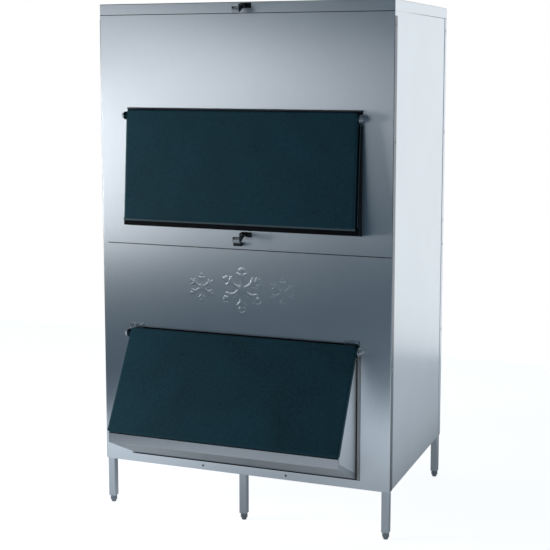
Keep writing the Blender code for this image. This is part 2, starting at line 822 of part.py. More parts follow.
S_FRONT = -DOOR_REAR - SEAL - 2 * GAP
TRAY_SLOPE = (APRON_FOLD - HOPPER_LOW) / APRON_OUT
TRAY_RISE = TRAY_SKIN * math.sqrt(1 + TRAY_SLOPE * TRAY_SLOPE)
INNER_APRON = APRON_OUT - TRAY_SKIN


def rim_up(out):
    """Height of the hopper's sloping rim, parallel to the closed lower door."""
    lean = LEANS["lower"]
    down = (out - PIVOT_OUT - S_FRONT * math.cos(lean)) / math.sin(lean)
    return door_point("lower", down, S_FRONT)[1]


APRON_DOWN = DOOR_BELOW + SEAL + 3 * GAP
apron_back = door_point("lower", APRON_DOWN, S_FRONT)
lean = LEANS["lower"]
apron_front = (
    (APRON_OUT - PIVOT_OUT - APRON_DOWN * math.sin(lean)) / math.cos(lean)
)
apron_top = door_point("lower", APRON_DOWN, apron_front)
tray_in = HOPPER_LOW + TRAY_RISE
tray = [
    (GAP - WALL, HOPPER_LOW),
    (0.0, HOPPER_LOW),
    (APRON_OUT, APRON_FOLD),
    apron_top,
    apron_back,
    (INNER_APRON, rim_up(INNER_APRON)),
    (INNER_APRON, tray_in + TRAY_SLOPE * INNER_APRON),
    (0.0, tray_in),
    (GAP - WALL, tray_in - 2 * GAP),
]
HOPPER_X = (-HOPPER_HALF_WIDTH, HOPPER_HALF_WIDTH)
from_bmesh("hopper_tray", section(tray, HOPPER_X), STAINLESS)

HOPPER_REAR = -WALL - 2 * SHEET
cheek_front = INNER_APRON - GAP
rim_top = out_at("lower", S_FRONT, HOPPER_HIGH)
cheek = [
    (HOPPER_REAR, tray_in + GAP),
    (0.0, tray_in + GAP),
    (cheek_front, tray_in + GAP + TRAY_SLOPE * cheek_front),
    (cheek_front, rim_up(cheek_front)),
    (rim_top, HOPPER_HIGH),
    (HOPPER_REAR, HOPPER_HIGH),
]
for name, side in (("left", -1), ("right", 1)):
    across = sorted((side * HOPPER_HALF_WIDTH, side * (HOPPER_HALF_WIDTH - CHEEK)))
    from_bmesh(f"hopper_{name}_cheek", section(cheek, across), STAINLESS)

rail_low = HOPPER_HIGH - RAIL_HEIGHT
rail = [
    (HOPPER_REAR, rail_low),
    (out_at("lower", S_FRONT, rail_low), rail_low),
    (rim_top, HOPPER_HIGH),
    (HOPPER_REAR, HOPPER_HIGH),
]
RAIL_HALF = HOPPER_HALF_WIDTH - CHEEK - GAP
from_bmesh("hopper_top_rail", section(rail, (-RAIL_HALF, RAIL_HALF)), STAINLESS)

# Rubber seal round the rim, with a bead under the door's lower edge
seal_half = HOPPER_HALF_WIDTH - GAP * 2
seal_hole = seal_half - SEAL_WIDTH
seal_low = APRON_DOWN - GAP
sealing = (S_FRONT + GAP, S_FRONT + GAP + SEAL)


def door_slab(x, down, front):
    """Flat piece laid parallel to the closed lower door."""
    corners = [
        door_point("lower", down[0], front[0]),
        door_point("lower", down[1], front[0]),
        door_point("lower", down[1], front[1]),
        door_point("lower", down[0], front[1]),
    ]
    return section(corners, x)


seal = from_bmesh("hopper_seal", door_slab((-seal_half, seal_half), (SEAL_TOP, seal_low), sealing))
joined(
    seal,
    door_slab(
        (-seal_half, seal_half),
        (DOOR_BELOW + GAP, seal_low),
        (sealing[0], apron_front),
    ),
)
cut(
    seal,
    door_slab(
        (-seal_hole, seal_hole),
        (SEAL_TOP + SEAL_WIDTH, seal_low - SEAL_WIDTH - SEAL),
        (-OVERRUN, OVERRUN),
    ),
)
dressed(seal, RUBBER)

# Black trim that fills the cut-out round the hopper and runs up behind the door's top edge
trim = from_bmesh(
    "opening_trim",
    panel(
        (GAP - CUT_HALF_WIDTH, CUT_HALF_WIDTH - GAP),
        (-SHEET, GAP + TRIM / 2),
        (CUT_LOW + GAP, CUT_HIGH - GAP),
    ),
)
joined(trim, panel(FLANGE_X, FLANGE_OUT, (HOPPER_HIGH + GAP, TRIM_TOP)))
cut(
    trim,
    panel(
        (-HOPPER_HALF_WIDTH - GAP, HOPPER_HALF_WIDTH + GAP),
        (-OVERRUN, OVERRUN),
        (HOPPER_LOW - GAP, HOPPER_HIGH + GAP),
    ),
)
dressed(trim, BLACK_PLASTIC)


# Doors: a moulded shell open at the back, filled with foam and closed by a lining

def rounded_slab(x, y, z, corner, edge=0.0):
    """Upright slab with rounded outline corners, and optionally a rounded front edge."""
    shape = block(x, y, z)
    corners = [
        e
        for e in shape.edges
        if abs(e.verts[0].co.x - e.verts[1].co.x) < GAP
        and abs(e.verts[0].co.z - e.verts[1].co.z) < GAP
    ]
    rounded_edges(shape, corners, corner, 4)
    if edge:
        bevelled(shape, lambda co: co.y < y[0] + GAP, edge, 3)
    return shape


def top_chamfer(inset):
    """Wedge that takes off the door's upper rear edge, or one set further into the door."""
    shift = inset * (math.sqrt(2) - 1)
    reach = DOOR_FRONT
    top = DOOR_ABOVE - shift
    start = DOOR_REAR - DOOR_CHAMFER - inset
    return prism(
        "X",
        [
            (start - reach, top + reach),
            (start + DOOR_CHAMFER + inset + reach, top - DOOR_CHAMFER - inset - reach),
            (OVERRUN, top - DOOR_CHAMFER - inset - reach),
            (OVERRUN, top + reach),
        ],
        -HALF,
        HALF,
    )


def door_mesh_parts():
    """Shell, core and lining of a door hanging straight down from a pivot at the origin."""
    half = DOOR_HALF_WIDTH
    shell = from_bmesh(
        "shell",
        rounded_slab(
            (-half, half), (-DOOR_FRONT, DOOR_REAR), (-DOOR_BELOW, DOOR_ABOVE), DOOR_CORNER, DOOR_EDGE
        ),
    )
    cut(shell, top_chamfer(0.0))
    inner = half - DOOR_SKIN
    low = DOOR_SKIN - DOOR_BELOW
    high = DOOR_ABOVE - DOOR_SKIN
    cavity = from_bmesh(
        "cavity",
        rounded_slab(
            (-inner, inner),
            (DOOR_SKIN - DOOR_FRONT, DOOR_REAR + DOOR_SKIN),
            (low, high),
            DOOR_CORNER - DOOR_SKIN,
        ),
    )
    cut(cavity, top_chamfer(DOOR_SKIN))
    hollow = bmesh.new()
    hollow.from_mesh(cavity.data)
    bpy.data.objects.remove(cavity)
    cut(shell, hollow)
    joined(
        shell,
        rod((HUB_ROOT, 0.0, 0.0), (HUB_END, 0.0, 0.0), HUB_RADIUS),
        rod((-HUB_ROOT, 0.0, 0.0), (-HUB_END, 0.0, 0.0), HUB_RADIUS),
    )
    blind = PIN_TIP - 2 * GAP
    cut(
        shell,
        rod((blind, 0.0, 0.0), (HALF, 0.0, 0.0), PIN_HOLE),
        rod((-blind, 0.0, 0.0), (-HALF, 0.0, 0.0), PIN_HOLE),
    )
    core = from_bmesh(
        "core",
        rounded_slab(
            (GAP - inner, inner - GAP),
            (DOOR_SKIN - DOOR_FRONT + GAP, DOOR_REAR - LINING - GAP),
            (low + GAP, high - GAP),
            DOOR_CORNER - DOOR_SKIN,
        ),
    )
    notch_low = -HUB_RADIUS - GAP * 2
    cut(
        core,
        top_chamfer(DOOR_SKIN + GAP),
        block((HUB_ROOT - 2 * GAP, HALF), (-OVERRUN, OVERRUN), (notch_low, OVERRUN)),
        block((-HALF, 2 * GAP - HUB_ROOT), (-OVERRUN, OVERRUN), (notch_low, OVERRUN)),
    )
    lining_top = DOOR_ABOVE - DOOR_CHAMFER - 2 * DOOR_SKIN
    lining = from_bmesh(
        "lining",
        rounded_slab(
            (GAP - inner, inner - GAP),
            (DOOR_REAR - LINING, DOOR_REAR),
            (low + GAP, lining_top),
            DOOR_CORNER - DOOR_SKIN,
        ),
    )
    dressed(shell, DOOR_PLASTIC, True)
    dressed(core, FOAM)
    dressed(lining, LINING_PLASTIC)
    return {"shell": shell, "core": core, "lining": lining}


patterns = door_mesh_parts()
for which in ("upper", "lower"):
    pivot = bpy.data.objects.new(f"{which}_door_pivot", None)
    bpy.context.scene.collection.objects.link(pivot)
    pivot.location = (0.0, *world(PIVOT_OUT, PIVOT_UPS[which]))
    pivot.rotation_euler.x = -LEANS[which]
    for part, pattern in patterns.items():
        piece = link(f"{which}_door_{part}", pattern.data)
        piece.parent = pivot
for pattern in patterns.values():
    bpy.data.objects.remove(pattern)


# Hinge brackets, bent from sheet: a plate on the front and an ear beside the door

def hinge_bracket(name, side, pivot_up, plate_up, screw_up):
    plate_out = (GAP, GAP + BRACKET)
    ear_outer = EAR_INNER + BRACKET
    plate_x = sorted((side * BRACKET_INNER, side * ear_outer))
    ear_x = sorted((side * EAR_INNER, side * ear_outer))
    nose = [p for p in circle((PIVOT_OUT, pivot_up), EAR_RADIUS, 32) if p[0] > PIVOT_OUT]
    ear = hull(
        nose
        + [
            (PIVOT_OUT, pivot_up + EAR_RADIUS),
            (PIVOT_OUT, pivot_up - EAR_RADIUS),
            (GAP, pivot_up + EAR_RADIUS),
            (GAP, pivot_up - EAR_RADIUS),
        ]
    )
    bracket = from_bmesh(name, panel(plate_x, plate_out, plate_up))
    y, z = world(GAP + BRACKET, screw_up)
    heads = []
    for share in BRACKET_SCREW_SHARES:
        x = BRACKET_INNER + share * (ear_outer - BRACKET_INNER)
        heads.append(dome((side * x, y, z), (0, -1, 0), SCREW_RADIUS, SCREW_HEIGHT))
    joined(bracket, section(ear, ear_x), merged(*heads))
    y, z = world(PIVOT_OUT, pivot_up)
    cut(bracket, rod((side * BRACKET_INNER, y, z), (side * HALF, y, z), PIN_HOLE))
    return dressed(bracket, BRIGHT_STEEL)


def pivot_pin(name, side, pivot_up):
    """Pin through the ear into the door's hub, under a domed cap nut."""
    root = EAR_INNER + BRACKET + GAP
    profile = [(0.0, PIN_TIP), (PIN_RADIUS, PIN_TIP), (PIN_RADIUS, root), (NUT_RADIUS, root)]
    profile += [(NUT_RADIUS * a, root + NUT_HEIGHT * b) for a, b in NUT_DOME_SHARES]
    profile += [(0.0, root + NUT_HEIGHT)]
    y, z = world(PIVOT_OUT, pivot_up)
    turn = Matrix.Rotation(side * math.pi / 2, 4, "Y")
    shape = turned(profile, 20, Matrix.Translation((0.0, y, z)) @ turn)
    return from_bmesh(name, shape, BRIGHT_STEEL, True)


UPPER_PLATE = (FRAME_HIGH + UPPER_PLATE_CLEARANCE, FRAME_TOP - FRAME_BAND - GAP)
LOWER_PLATE = (CUT_HIGH, PIVOT_UPS["lower"] + LOWER_PLATE_RISE)
for name, side in (("left", -1), ("right", 1)):
    up = PIVOT_UPS["upper"]
    hinge_bracket(f"upper_{name}_hinge_bracket", side, up, UPPER_PLATE, up + UPPER_SCREW_RISE)
    pivot_pin(f"upper_{name}_pivot_pin", side, up)
    up = PIVOT_UPS["lower"]
    hinge_bracket(f"lower_{name}_hinge_bracket", side, up, LOWER_PLATE, up + LOWER_SCREW_RISE)
    pivot_pin(f"lower_{name}_pivot_pin", side, up)


# Roller catches: a sprung arm carries a roller that the raised door's edge rides past

def catch(name, pin_up):
    pin_y, pin_z = world(CATCH_PIN_OUT, pin_up)
    axle_up = pin_up + ROLLER_RISE
    axle_y, axle_z = world(ROLLER_OUT, axle_up)
    plate_up = (pin_up + CATCH_PLATE_RISES[0], pin_up + CATCH_PLATE_RISES[1])
    ears_x = (CATCH_PLATE[0], ARM_SPAN[1] + ARM_SHEET)

    bracket = from_bmesh(f"{name}_catch_bracket", panel(CATCH_PLATE, (GAP, GAP + ARM_SHEET), plate_up))
    nose = circle((CATCH_PIN_OUT, pin_up), CATCH_EAR)
    ear = hull(nose + [(GAP, pin_up - CATCH_EAR), (GAP, pin_up + CATCH_EAR)])
    joined(
        bracket,
        section(ear, (ears_x[0], ears_x[0] + ARM_SHEET)),
        section(ear, (ears_x[1], ears_x[1] + ARM_SHEET)),
        dome(
            (CATCH_SCREW, *world(GAP + ARM_SHEET, pin_up)), (0, -1, 0), SCREW_RADIUS, SCREW_HEIGHT
        ),
    )
    cut(
        bracket,
        rod((-OVERRUN, pin_y, pin_z), (OVERRUN, pin_y, pin_z), CATCH_PIN_RADIUS + GAP),
    )
    dressed(bracket, BLACK_STEEL)

    head = CATCH_PIN_HEAD
    left = ears_x[0] - GAP
    right = ears_x[1] + ARM_SHEET + GAP
    pin = turned(
        [
            (0.0, left - ARM_SHEET),
            (head, left - ARM_SHEET),
            (head, left),
            (CATCH_PIN_RADIUS, left),
            (CATCH_PIN_RADIUS, right),
            (head, right),
            (head, right + ARM_SHEET),
            (0.0, right + ARM_SHEET),
        ],
        20,
        Matrix.Translation((0.0, pin_y, pin_z)) @ Matrix.Rotation(math.pi / 2, 4, "Y"),
    )
    from_bmesh(f"{name}_catch_pin", pin, BRIGHT_STEEL, True)

    web_up = pin_up + ARM_WEB_RISE
    web_top = web_up + ARM_SHEET
    eye = circle((CATCH_PIN_OUT, pin_up), ARM_EYE)
    hub = circle((ROLLER_OUT, axle_up), ARM_EYE)
    shoulder = [(ARM_WEB[0], web_top), (ARM_WEB[1], web_top)]
    arm = from_bmesh(
        f"{name}_catch_arm", section(hull(eye + hub + shoulder), (ARM_SPAN[1] - ARM_SHEET, ARM_SPAN[1]))
    )
    joined(
        arm,
        section(hull(hub + shoulder), (ARM_SPAN[0], ARM_SPAN[0] + ARM_SHEET)),
        panel(ARM_SPAN, ARM_WEB, (web_up, web_top)),
        rod(
            (ARM_SPAN[0] + ARM_SHEET / 2, axle_y, axle_z),
            (ARM_SPAN[1] - ARM_SHEET / 2, axle_y, axle_z),
            CATCH_PIN_RADIUS,
        ),
    )
    cut(
        arm,
        rod((CATCH_PLATE[0], pin_y, pin_z), (OVERRUN, pin_y, pin_z), CATCH_PIN_RADIUS + GAP),
    )
    dressed(arm, BLACK_STEEL)
    placed(arm, (0.0, pin_y, pin_z))

    bore = CATCH_PIN_RADIUS + GAP
    rim = ROLLER_EDGE
    low, high = ROLLER_SPAN
    roller = from_bmesh(
        f"{name}_catch_roller",
        turned(
            [
                (bore, low),
                (ROLLER_RADIUS - rim, low),
                (ROLLER_RADIUS, low + rim),
                (ROLLER_RADIUS, high - rim),
                (ROLLER_RADIUS - rim, high),
                (bore, high),
            ],
            ROUND,
            Matrix.Translation((0.0, axle_y, axle_z)) @ Matrix.Rotation(math.pi / 2, 4, "Y"),
        ),
        BRIGHT_STEEL,
        True,
    )
    placed(roller, (0.0, axle_y, axle_z), arm)

    spring_points = catch_spring_points(pin_y, pin_z)
    curve = bpy.data.curves.new(f"{name}_catch_spring", "CURVE")
    curve.dimensions = "3D"
    curve.bevel_depth = SPRING_WIRE
    curve.bevel_resolution = WIRE_RESOLUTION
    curve.use_fill_caps = True
    line = curve.splines.new("POLY")
    line.points.add(len(spring_points) - 1)
    for point, co in zip(line.points, spring_points):
        point.co = (*co, 1.0)
    curve.materials.append(BRIGHT_STEEL)
    spring = bpy.data.objects.new(f"{name}_catch_spring", curve)
    bpy.context.scene.collection.objects.link(spring)
    return spring_points


def catch_spring_points(y, z):
    """Wire centre of a torsion spring wound round the catch pin. One leg reaches back to the
    bracket's plate, the other a short way out along the arm."""
    radius = CATCH_PIN_RADIUS + SPRING_CLEARANCE + SPRING_WIRE
    count = SPRING_TURNS * SPRING_TURN_POINTS
    coil = []
    for k in range(count + 1):
        turn = math.pi / 2 + 2 * math.pi * k / SPRING_TURN_POINTS
        x = SPRING_SPAN[0] + (SPRING_SPAN[1] - SPRING_SPAN[0]) * k / count
        coil.append(Vector((x, y + radius * math.cos(turn), z + radius * math.sin(turn))))
    back_leg = Vector((0.0, CATCH_PIN_OUT - ARM_SHEET - 2 * GAP, 0.0))
    front_leg = Vector((0.0, -SPRING_LEG, 0.0))
    start = [coil[0] + back_leg, coil[0] + back_leg / 2]
    end = [coil[-1] + front_leg / 2, coil[-1] + front_leg]
    return start + coil + end


def least_gap(points, wire):
    """Smallest clear distance between stretches of wire more than half a turn apart."""
    apart = SPRING_TURN_POINTS // 2 + 1
    least = math.inf
    for i, a in enumerate(points):
        for b in points[i + apart :]:
            least = min(least, (a - b).length)
    return least - 2 * wire


for name, pin_up in (("top", TOP_CATCH_UP), ("mid", MID_CATCH_UP)):
    wire_points = catch(name, pin_up)
    gap_mm = least_gap(wire_points, SPRING_WIRE) * 1000
    print(f"{name} catch spring, least gap between turns: {gap_mm:.2f} mm")

# Rubber buffer that the raised lower door rests against
buffer_up = (MID_CATCH_UP + BUFFER_RISES[0], MID_CATCH_UP + BUFFER_RISES[1])
buffer = panel(BUFFER_SPAN, (GAP, BUFFER_OUT), buffer_up)
bevelled(buffer, lambda co: co.y < FRONT_Y - BUFFER_OUT / 2, BUFFER_EDGE, 3)
from_bmesh("catch_buffer", buffer, RUBBER, True)


# Legs: square tube with a welded top plate and a plug that takes the foot's stem

def leg(name, x, y, plate_x, plate_y):
    side = LEG_SIDE / 2
    low = FOOT_HEIGHT + GAP
    plate_z = (LEG_HEIGHT + BASE_UP - GAP - LEG_PLATE_THICKNESS, LEG_HEIGHT + BASE_UP - GAP)
    outline = rectangle((x - side, x + side), (y - side, y + side), LEG_CORNER)
    tube = from_bmesh(name, prism("Z", outline, low, plate_z[0] + LEG_PLATE_THICKNESS / 2))
    plate = rectangle(plate_x, plate_y, LEG_CORNER)
    joined(tube, prism("Z", plate, plate_z[0], plate_z[1]))
    inside = side - LEG_WALL
    hollow = rectangle((x - inside, x + inside), (y - inside, y + inside), LEG_CORNER - LEG_WALL)
    cut(
        tube,
        prism("Z", hollow, low + LEG_PLUG, plate_z[0]),
        rod((x, y, 0.0), (x, y, low + LEG_PLUG + LEG_WALL), FOOT_BORE),
    )
    return dressed(tube, STAINLESS)


def foot(name, x, y):
    """Levelling foot with a narrow base, turned about its stem."""
    profile = [(0.0, 0.0)]
    profile += [(FOOT_RADIUS * a, FOOT_HEIGHT * b) for a, b in FOOT_SHARES]
    profile += [(FOOT_STEM, FOOT_HEIGHT), (FOOT_STEM, FOOT_STEM_TOP), (0.0, FOOT_STEM_TOP)]
    piece = from_bmesh(name, turned(profile, 20, Matrix.Translation((x, y, 0.0))), STAINLESS, True)
    return placed(piece, (x, y, 0.0))


LEG_X = INNER_HALF - LEG_SIDE / 2
leg_front, leg_rear = world(SIDE_OUT[1], 0.0)[0], world(SIDE_OUT[0], 0.0)[0]
for row, y, plate_y in (
    ("front", leg_front + LEG_SIDE / 2, (leg_front, leg_front + LEG_PLATE)),
    ("rear", leg_rear - LEG_SIDE / 2, (leg_rear - LEG_PLATE, leg_rear)),
):
    for place, x in (("left", -LEG_X), ("middle", 0.0), ("right", LEG_X)):
        inward = {"left": LEG_PLATE - LEG_SIDE, "middle": 0.0, "right": LEG_SIDE - LEG_PLATE}[place]
        centre = x + inward / 2
        plate_x = (centre - LEG_PLATE / 2, centre + LEG_PLATE / 2)
        leg(f"leg_{row}_{place}", x, y, plate_x, plate_y)
        foot(f"foot_{row}_{place}", x, y)
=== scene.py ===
# %% [markdown]
# # Ice storage bin
# A tall insulated bin that stands under an ice maker. Its outer sheets are satin stainless steel, and two dark
# plastic doors hang in its front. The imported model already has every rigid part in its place, so the lesson starts
# from it: the parts stay where they are, and this script gives them their finishes, adds small details of sheet,
# trim and silicone, and sets up the studio.

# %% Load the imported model
from math import pi, radians

import bmesh
import bpy
from mathutils import Matrix, Vector


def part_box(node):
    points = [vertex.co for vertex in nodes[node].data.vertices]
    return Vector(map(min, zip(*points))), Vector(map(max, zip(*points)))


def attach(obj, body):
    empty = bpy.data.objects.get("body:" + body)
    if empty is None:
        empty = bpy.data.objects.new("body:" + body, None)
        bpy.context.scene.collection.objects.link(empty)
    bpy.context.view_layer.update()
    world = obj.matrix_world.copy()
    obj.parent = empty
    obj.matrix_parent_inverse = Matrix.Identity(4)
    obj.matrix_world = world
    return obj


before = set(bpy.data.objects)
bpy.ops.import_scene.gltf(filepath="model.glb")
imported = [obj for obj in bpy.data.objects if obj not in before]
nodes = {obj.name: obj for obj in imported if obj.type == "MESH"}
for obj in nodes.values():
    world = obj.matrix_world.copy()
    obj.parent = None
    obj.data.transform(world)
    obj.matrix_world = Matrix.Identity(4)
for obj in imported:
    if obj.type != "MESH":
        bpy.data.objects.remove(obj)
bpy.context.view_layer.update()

# %% [markdown]
# ## The camera
# The photograph is taken from the right of the bin, at about the height of its lid, and yet its upright edges
# hardly converge. A view camera does that with a shifted lens. A small shift, a slight downward tilt and a place a
# little lower give nearly the same picture, and leave other views well framed.

# %% Camera
IMAGE_SIZE = 550
SENSOR_WIDTH = 36.0
FOCAL_PIXELS = 1237
CAMERA_PLACE = (1.651, -4.256, 1.634)
CAMERA_TILT, CAMERA_TURN = -7.08, 20.91
CAMERA_SHIFT = -0.10

scene = bpy.context.scene
camera = bpy.data.objects.new("camera", bpy.data.cameras.new("camera"))
scene.collection.objects.link(camera)
scene.camera = camera
camera.data.sensor_width = SENSOR_WIDTH
camera.data.lens = FOCAL_PIXELS * SENSOR_WIDTH / IMAGE_SIZE
camera.data.shift_y = CAMERA_SHIFT
camera.location = CAMERA_PLACE
camera.rotation_euler = (radians(90 + CAMERA_TILT), 0, radians(CAMERA_TURN))
scene.view_settings.view_transform = "Standard"
print("lens:", round(camera.data.lens, 1), "mm")

# %% [markdown]
# ## Small helpers for shader nodes
# Every finish below is a small network of nodes. A few helpers keep the networks readable: one adds a node with its
# values, one draws a wire between two sockets, and the others make an empty group and two kinds of ramp.

# %% Node helpers
def add(tree, kind, values=None, **settings):
    """Adds a shader node, sets its properties, then the values of its open sockets."""
    made = tree.nodes.new("ShaderNode" + kind)
    for name, value in settings.items():
        setattr(made, name, value)
    for socket, value in (values or {}).items():
        made.inputs[socket].default_value = value
    return made


def wire(tree, source, output, target, socket):
    """Joins an output socket to an input socket."""
    tree.links.new(source.outputs[output], target.inputs[socket])


def new_group(name, inputs, outputs):
    """An empty node group with named number inputs and named outputs."""
    group = bpy.data.node_groups.new(name, "ShaderNodeTree")
    for label, value in inputs.items():
        made = group.interface.new_socket(name=label, in_out="INPUT", socket_type="NodeSocketFloat")
        made.default_value = value
    for label, kind in outputs.items():
        group.interface.new_socket(name=label, in_out="OUTPUT", socket_type="NodeSocket" + kind)
    return group, group.nodes.new("NodeGroupInput"), group.nodes.new("NodeGroupOutput")


def profile(tree, source, axis, stops):
    """Grey levels along one axis of a place: (metres, level) stops, joined by straight ramps."""
    first, last = stops[0][0], stops[-1][0]
    share = add(tree, "MapRange", {"From Min": first, "From Max": last})
    ramp = add(tree, "ValToRGB")
    elements = ramp.color_ramp.elements
    while len(elements) < len(stops):
        elements.new(0.5)
    for element, (metres, level) in zip(elements, stops):
        element.position = (metres - first) / (last - first)
        element.color = (level, level, level, 1)
    wire(tree, source, axis, share, 0)
    wire(tree, share, 0, ramp, 0)
    return ramp


def smooth_ramp(tree, low, high):
    """A share that grows from 0 at the low value to 1 at the high one, with soft ends."""
    return add(tree, "MapRange", {"From Min": low, "From Max": high}, interpolation_type="SMOOTHSTEP")


# In Blender 4.5 a Mix node keeps one set of sockets for each kind of data, so they are named by number.
MIX_FACTOR = 0
MIX_NUMBER = {"a": 2, "b": 3, "out": 0}
MIX_VECTOR = {"a": 4, "b": 5, "out": 1}
MIX_COLOUR = {"a": 6, "b": 7, "out": 2}
print("node helpers ready")

# %% [markdown]
# ## Brushed lines
# Satin stainless sheet is ground with an abrasive belt, which leaves fine straight lines. A noise texture that is
# squeezed across the lines and stretched along them gives that. On the upright faces the lines run up and down, and
# on the lid and the sloping sheets they run from side to side, so the group looks at how far the face points up.
# Such a texture needs no picture, has no seams and stays sharp from close by.

# %% Group: brushed lines
FLAT_FROM = 0.6
lines, start, end = new_group(
    "brushed lines", {"Lines per metre": 900.0, "Length": 60.0}, {"Tone": "Float", "Height": "Float"}
)
place = add(lines, "TexCoord")
faces = add(lines, "NewGeometry")
normal = add(lines, "SeparateXYZ")
upward = add(lines, "Math", operation="ABSOLUTE")
is_flat = add(lines, "Math", {1: FLAT_FROM}, operation="GREATER_THAN")
along = add(lines, "Math", operation="DIVIDE")
upright_scale = add(lines, "CombineXYZ")
flat_scale = add(lines, "CombineXYZ")
scale = add(lines, "Mix", data_type="VECTOR")
squeezed = add(lines, "VectorMath", operation="MULTIPLY")
noise = add(lines, "TexNoise", {"Scale": 1.0, "Detail": 3.0, "Roughness": 0.65})
wire(lines, faces, "Normal", normal, 0)
wire(lines, normal, "Z", upward, 0)
wire(lines, upward, 0, is_flat, 0)
wire(lines, start, "Lines per metre", along, 0)
wire(lines, start, "Length", along, 1)
for axis, upright, flat in (("X", start, along), ("Y", start, start), ("Z", along, start)):
    wire(lines, upright, 0, upright_scale, axis)
    wire(lines, flat, 0, flat_scale, axis)
wire(lines, is_flat, 0, scale, 0)
wire(lines, upright_scale, 0, scale, MIX_VECTOR["a"])
wire(lines, flat_scale, 0, scale, MIX_VECTOR["b"])
wire(lines, place, "Object", squeezed, 0)
wire(lines, scale, MIX_VECTOR["out"], squeezed, 1)
wire(lines, squeezed, 0, noise, "Vector")
spread = add(lines, "MapRange", {"From Min": 0.3, "From Max": 0.7})
wire(lines, noise, 0, spread, 0)
wire(lines, spread, 0, end, "Tone")
wire(lines, noise, 0, end, "Height")
print("brushed lines:", len(lines.nodes), "nodes")

# %% [markdown]
# ## Moulded grain
# The door shells, the frame and the rubber come out of moulds with a fine pebbled skin. Small Voronoi cells with
# some noise give a skin that catches light in specks, as spark-eroded plastic does. The pits are far too small to
# model, so the group gives a height for a bump.

# %% Group: moulded grain
grain, start, end = new_group("moulded grain", {"Grains per metre": 700.0}, {"Tone": "Float", "Height": "Float"})
place = add(grain, "TexCoord")
cells = add(grain, "TexVoronoi", {"Smoothness": 0.6}, feature="SMOOTH_F1")
specks = add(grain, "TexNoise", {"Detail": 2.0, "Roughness": 0.7})
for texture in (cells, specks):
    wire(grain, place, "Object", texture, "Vector")
    wire(grain, start, "Grains per metre", texture, "Scale")
height = add(grain, "Math", operation="ADD")
wire(grain, cells, "Distance", height, 0)
wire(grain, specks, 0, height, 1)
spread = add(grain, "MapRange", {"From Min": 0.35, "From Max": 0.65})
wire(grain, specks, 0, spread, 0)
wire(grain, spread, 0, end, "Tone")
wire(grain, height, 0, end, "Height")
print("moulded grain:", len(grain.nodes), "nodes")

# %% [markdown]
# ## Handling marks
# A wiped surface is never even: it keeps wide, faint clouds where it was rubbed. One broad noise gives a mask that
# moves the roughness a little, so that reflections break up slowly over a sheet.

# %% Group: wiped clouds
clouds, start, end = new_group("wiped clouds", {"Clouds per metre": 4.0}, {"Cloud": "Float"})
place = add(clouds, "TexCoord")
broad = add(clouds, "TexNoise", {"Detail": 4.0, "Roughness": 0.55, "Distortion": 0.4})
spread = add(clouds, "MapRange", {"From Min": 0.3, "From Max": 0.7})
wire(clouds, place, "Object", broad, "Vector")
wire(clouds, start, "Clouds per metre", broad, "Scale")
wire(clouds, broad, 0, spread, 0)
wire(clouds, spread, 0, end, "Cloud")
print("wiped clouds:", len(clouds.nodes), "nodes")

# %% [markdown]
# ## Soft edges
# No folded sheet or moulded rim has a perfectly sharp edge. The Bevel node looks round each edge, and gives a
# normal that turns gently over it. Real bevels would change the parts' meshes, and this changes only their shading.
# How far that normal differs from the face's own also tells where the edges are, which makes a mask for the places
# that hands and cloths rub bright, and on the doors for a painted highlight along their rims.

# %% Group: soft edges
edges, start, end = new_group("soft edges", {"Radius": 0.001}, {"Normal": "Vector", "Edge": "Float"})
rounded = add(edges, "Bevel", samples=4)
faces = add(edges, "NewGeometry")
same = add(edges, "VectorMath", operation="DOT_PRODUCT")
edge_wear_and_highlight_mask = add(edges, "MapRange", {"From Min": 0.995, "From Max": 0.8})
wire(edges, start, "Radius", rounded, "Radius")
wire(edges, rounded, 0, same, 0)
wire(edges, faces, "Normal", same, 1)
wire(edges, same, "Value", edge_wear_and_highlight_mask, 0)
wire(edges, rounded, 0, end, "Normal")
wire(edges, edge_wear_and_highlight_mask, 0, end, "Edge")
print("soft edges:", len(edges.nodes), "nodes")

# %% [markdown]
# ## One recipe for all finishes
# Each finish mixes two close colours by its fine texture, rubs the edges towards a third (wear on most parts, a
# painted highlight on the doors' rims), moves the roughness with the clouds, and bends the light with a bump. The
# recipe is the same for steel, plastic and rubber, and only the values differ. What is the same all over a part is
# set straight on the Principled shader.

# %% Finish recipe
def group_values_of(group, values):
    """A group's number inputs by name, from values in the order of the inputs."""
    return dict(zip([s.name for s in group.interface.items_tree if s.in_out == "INPUT"], values))


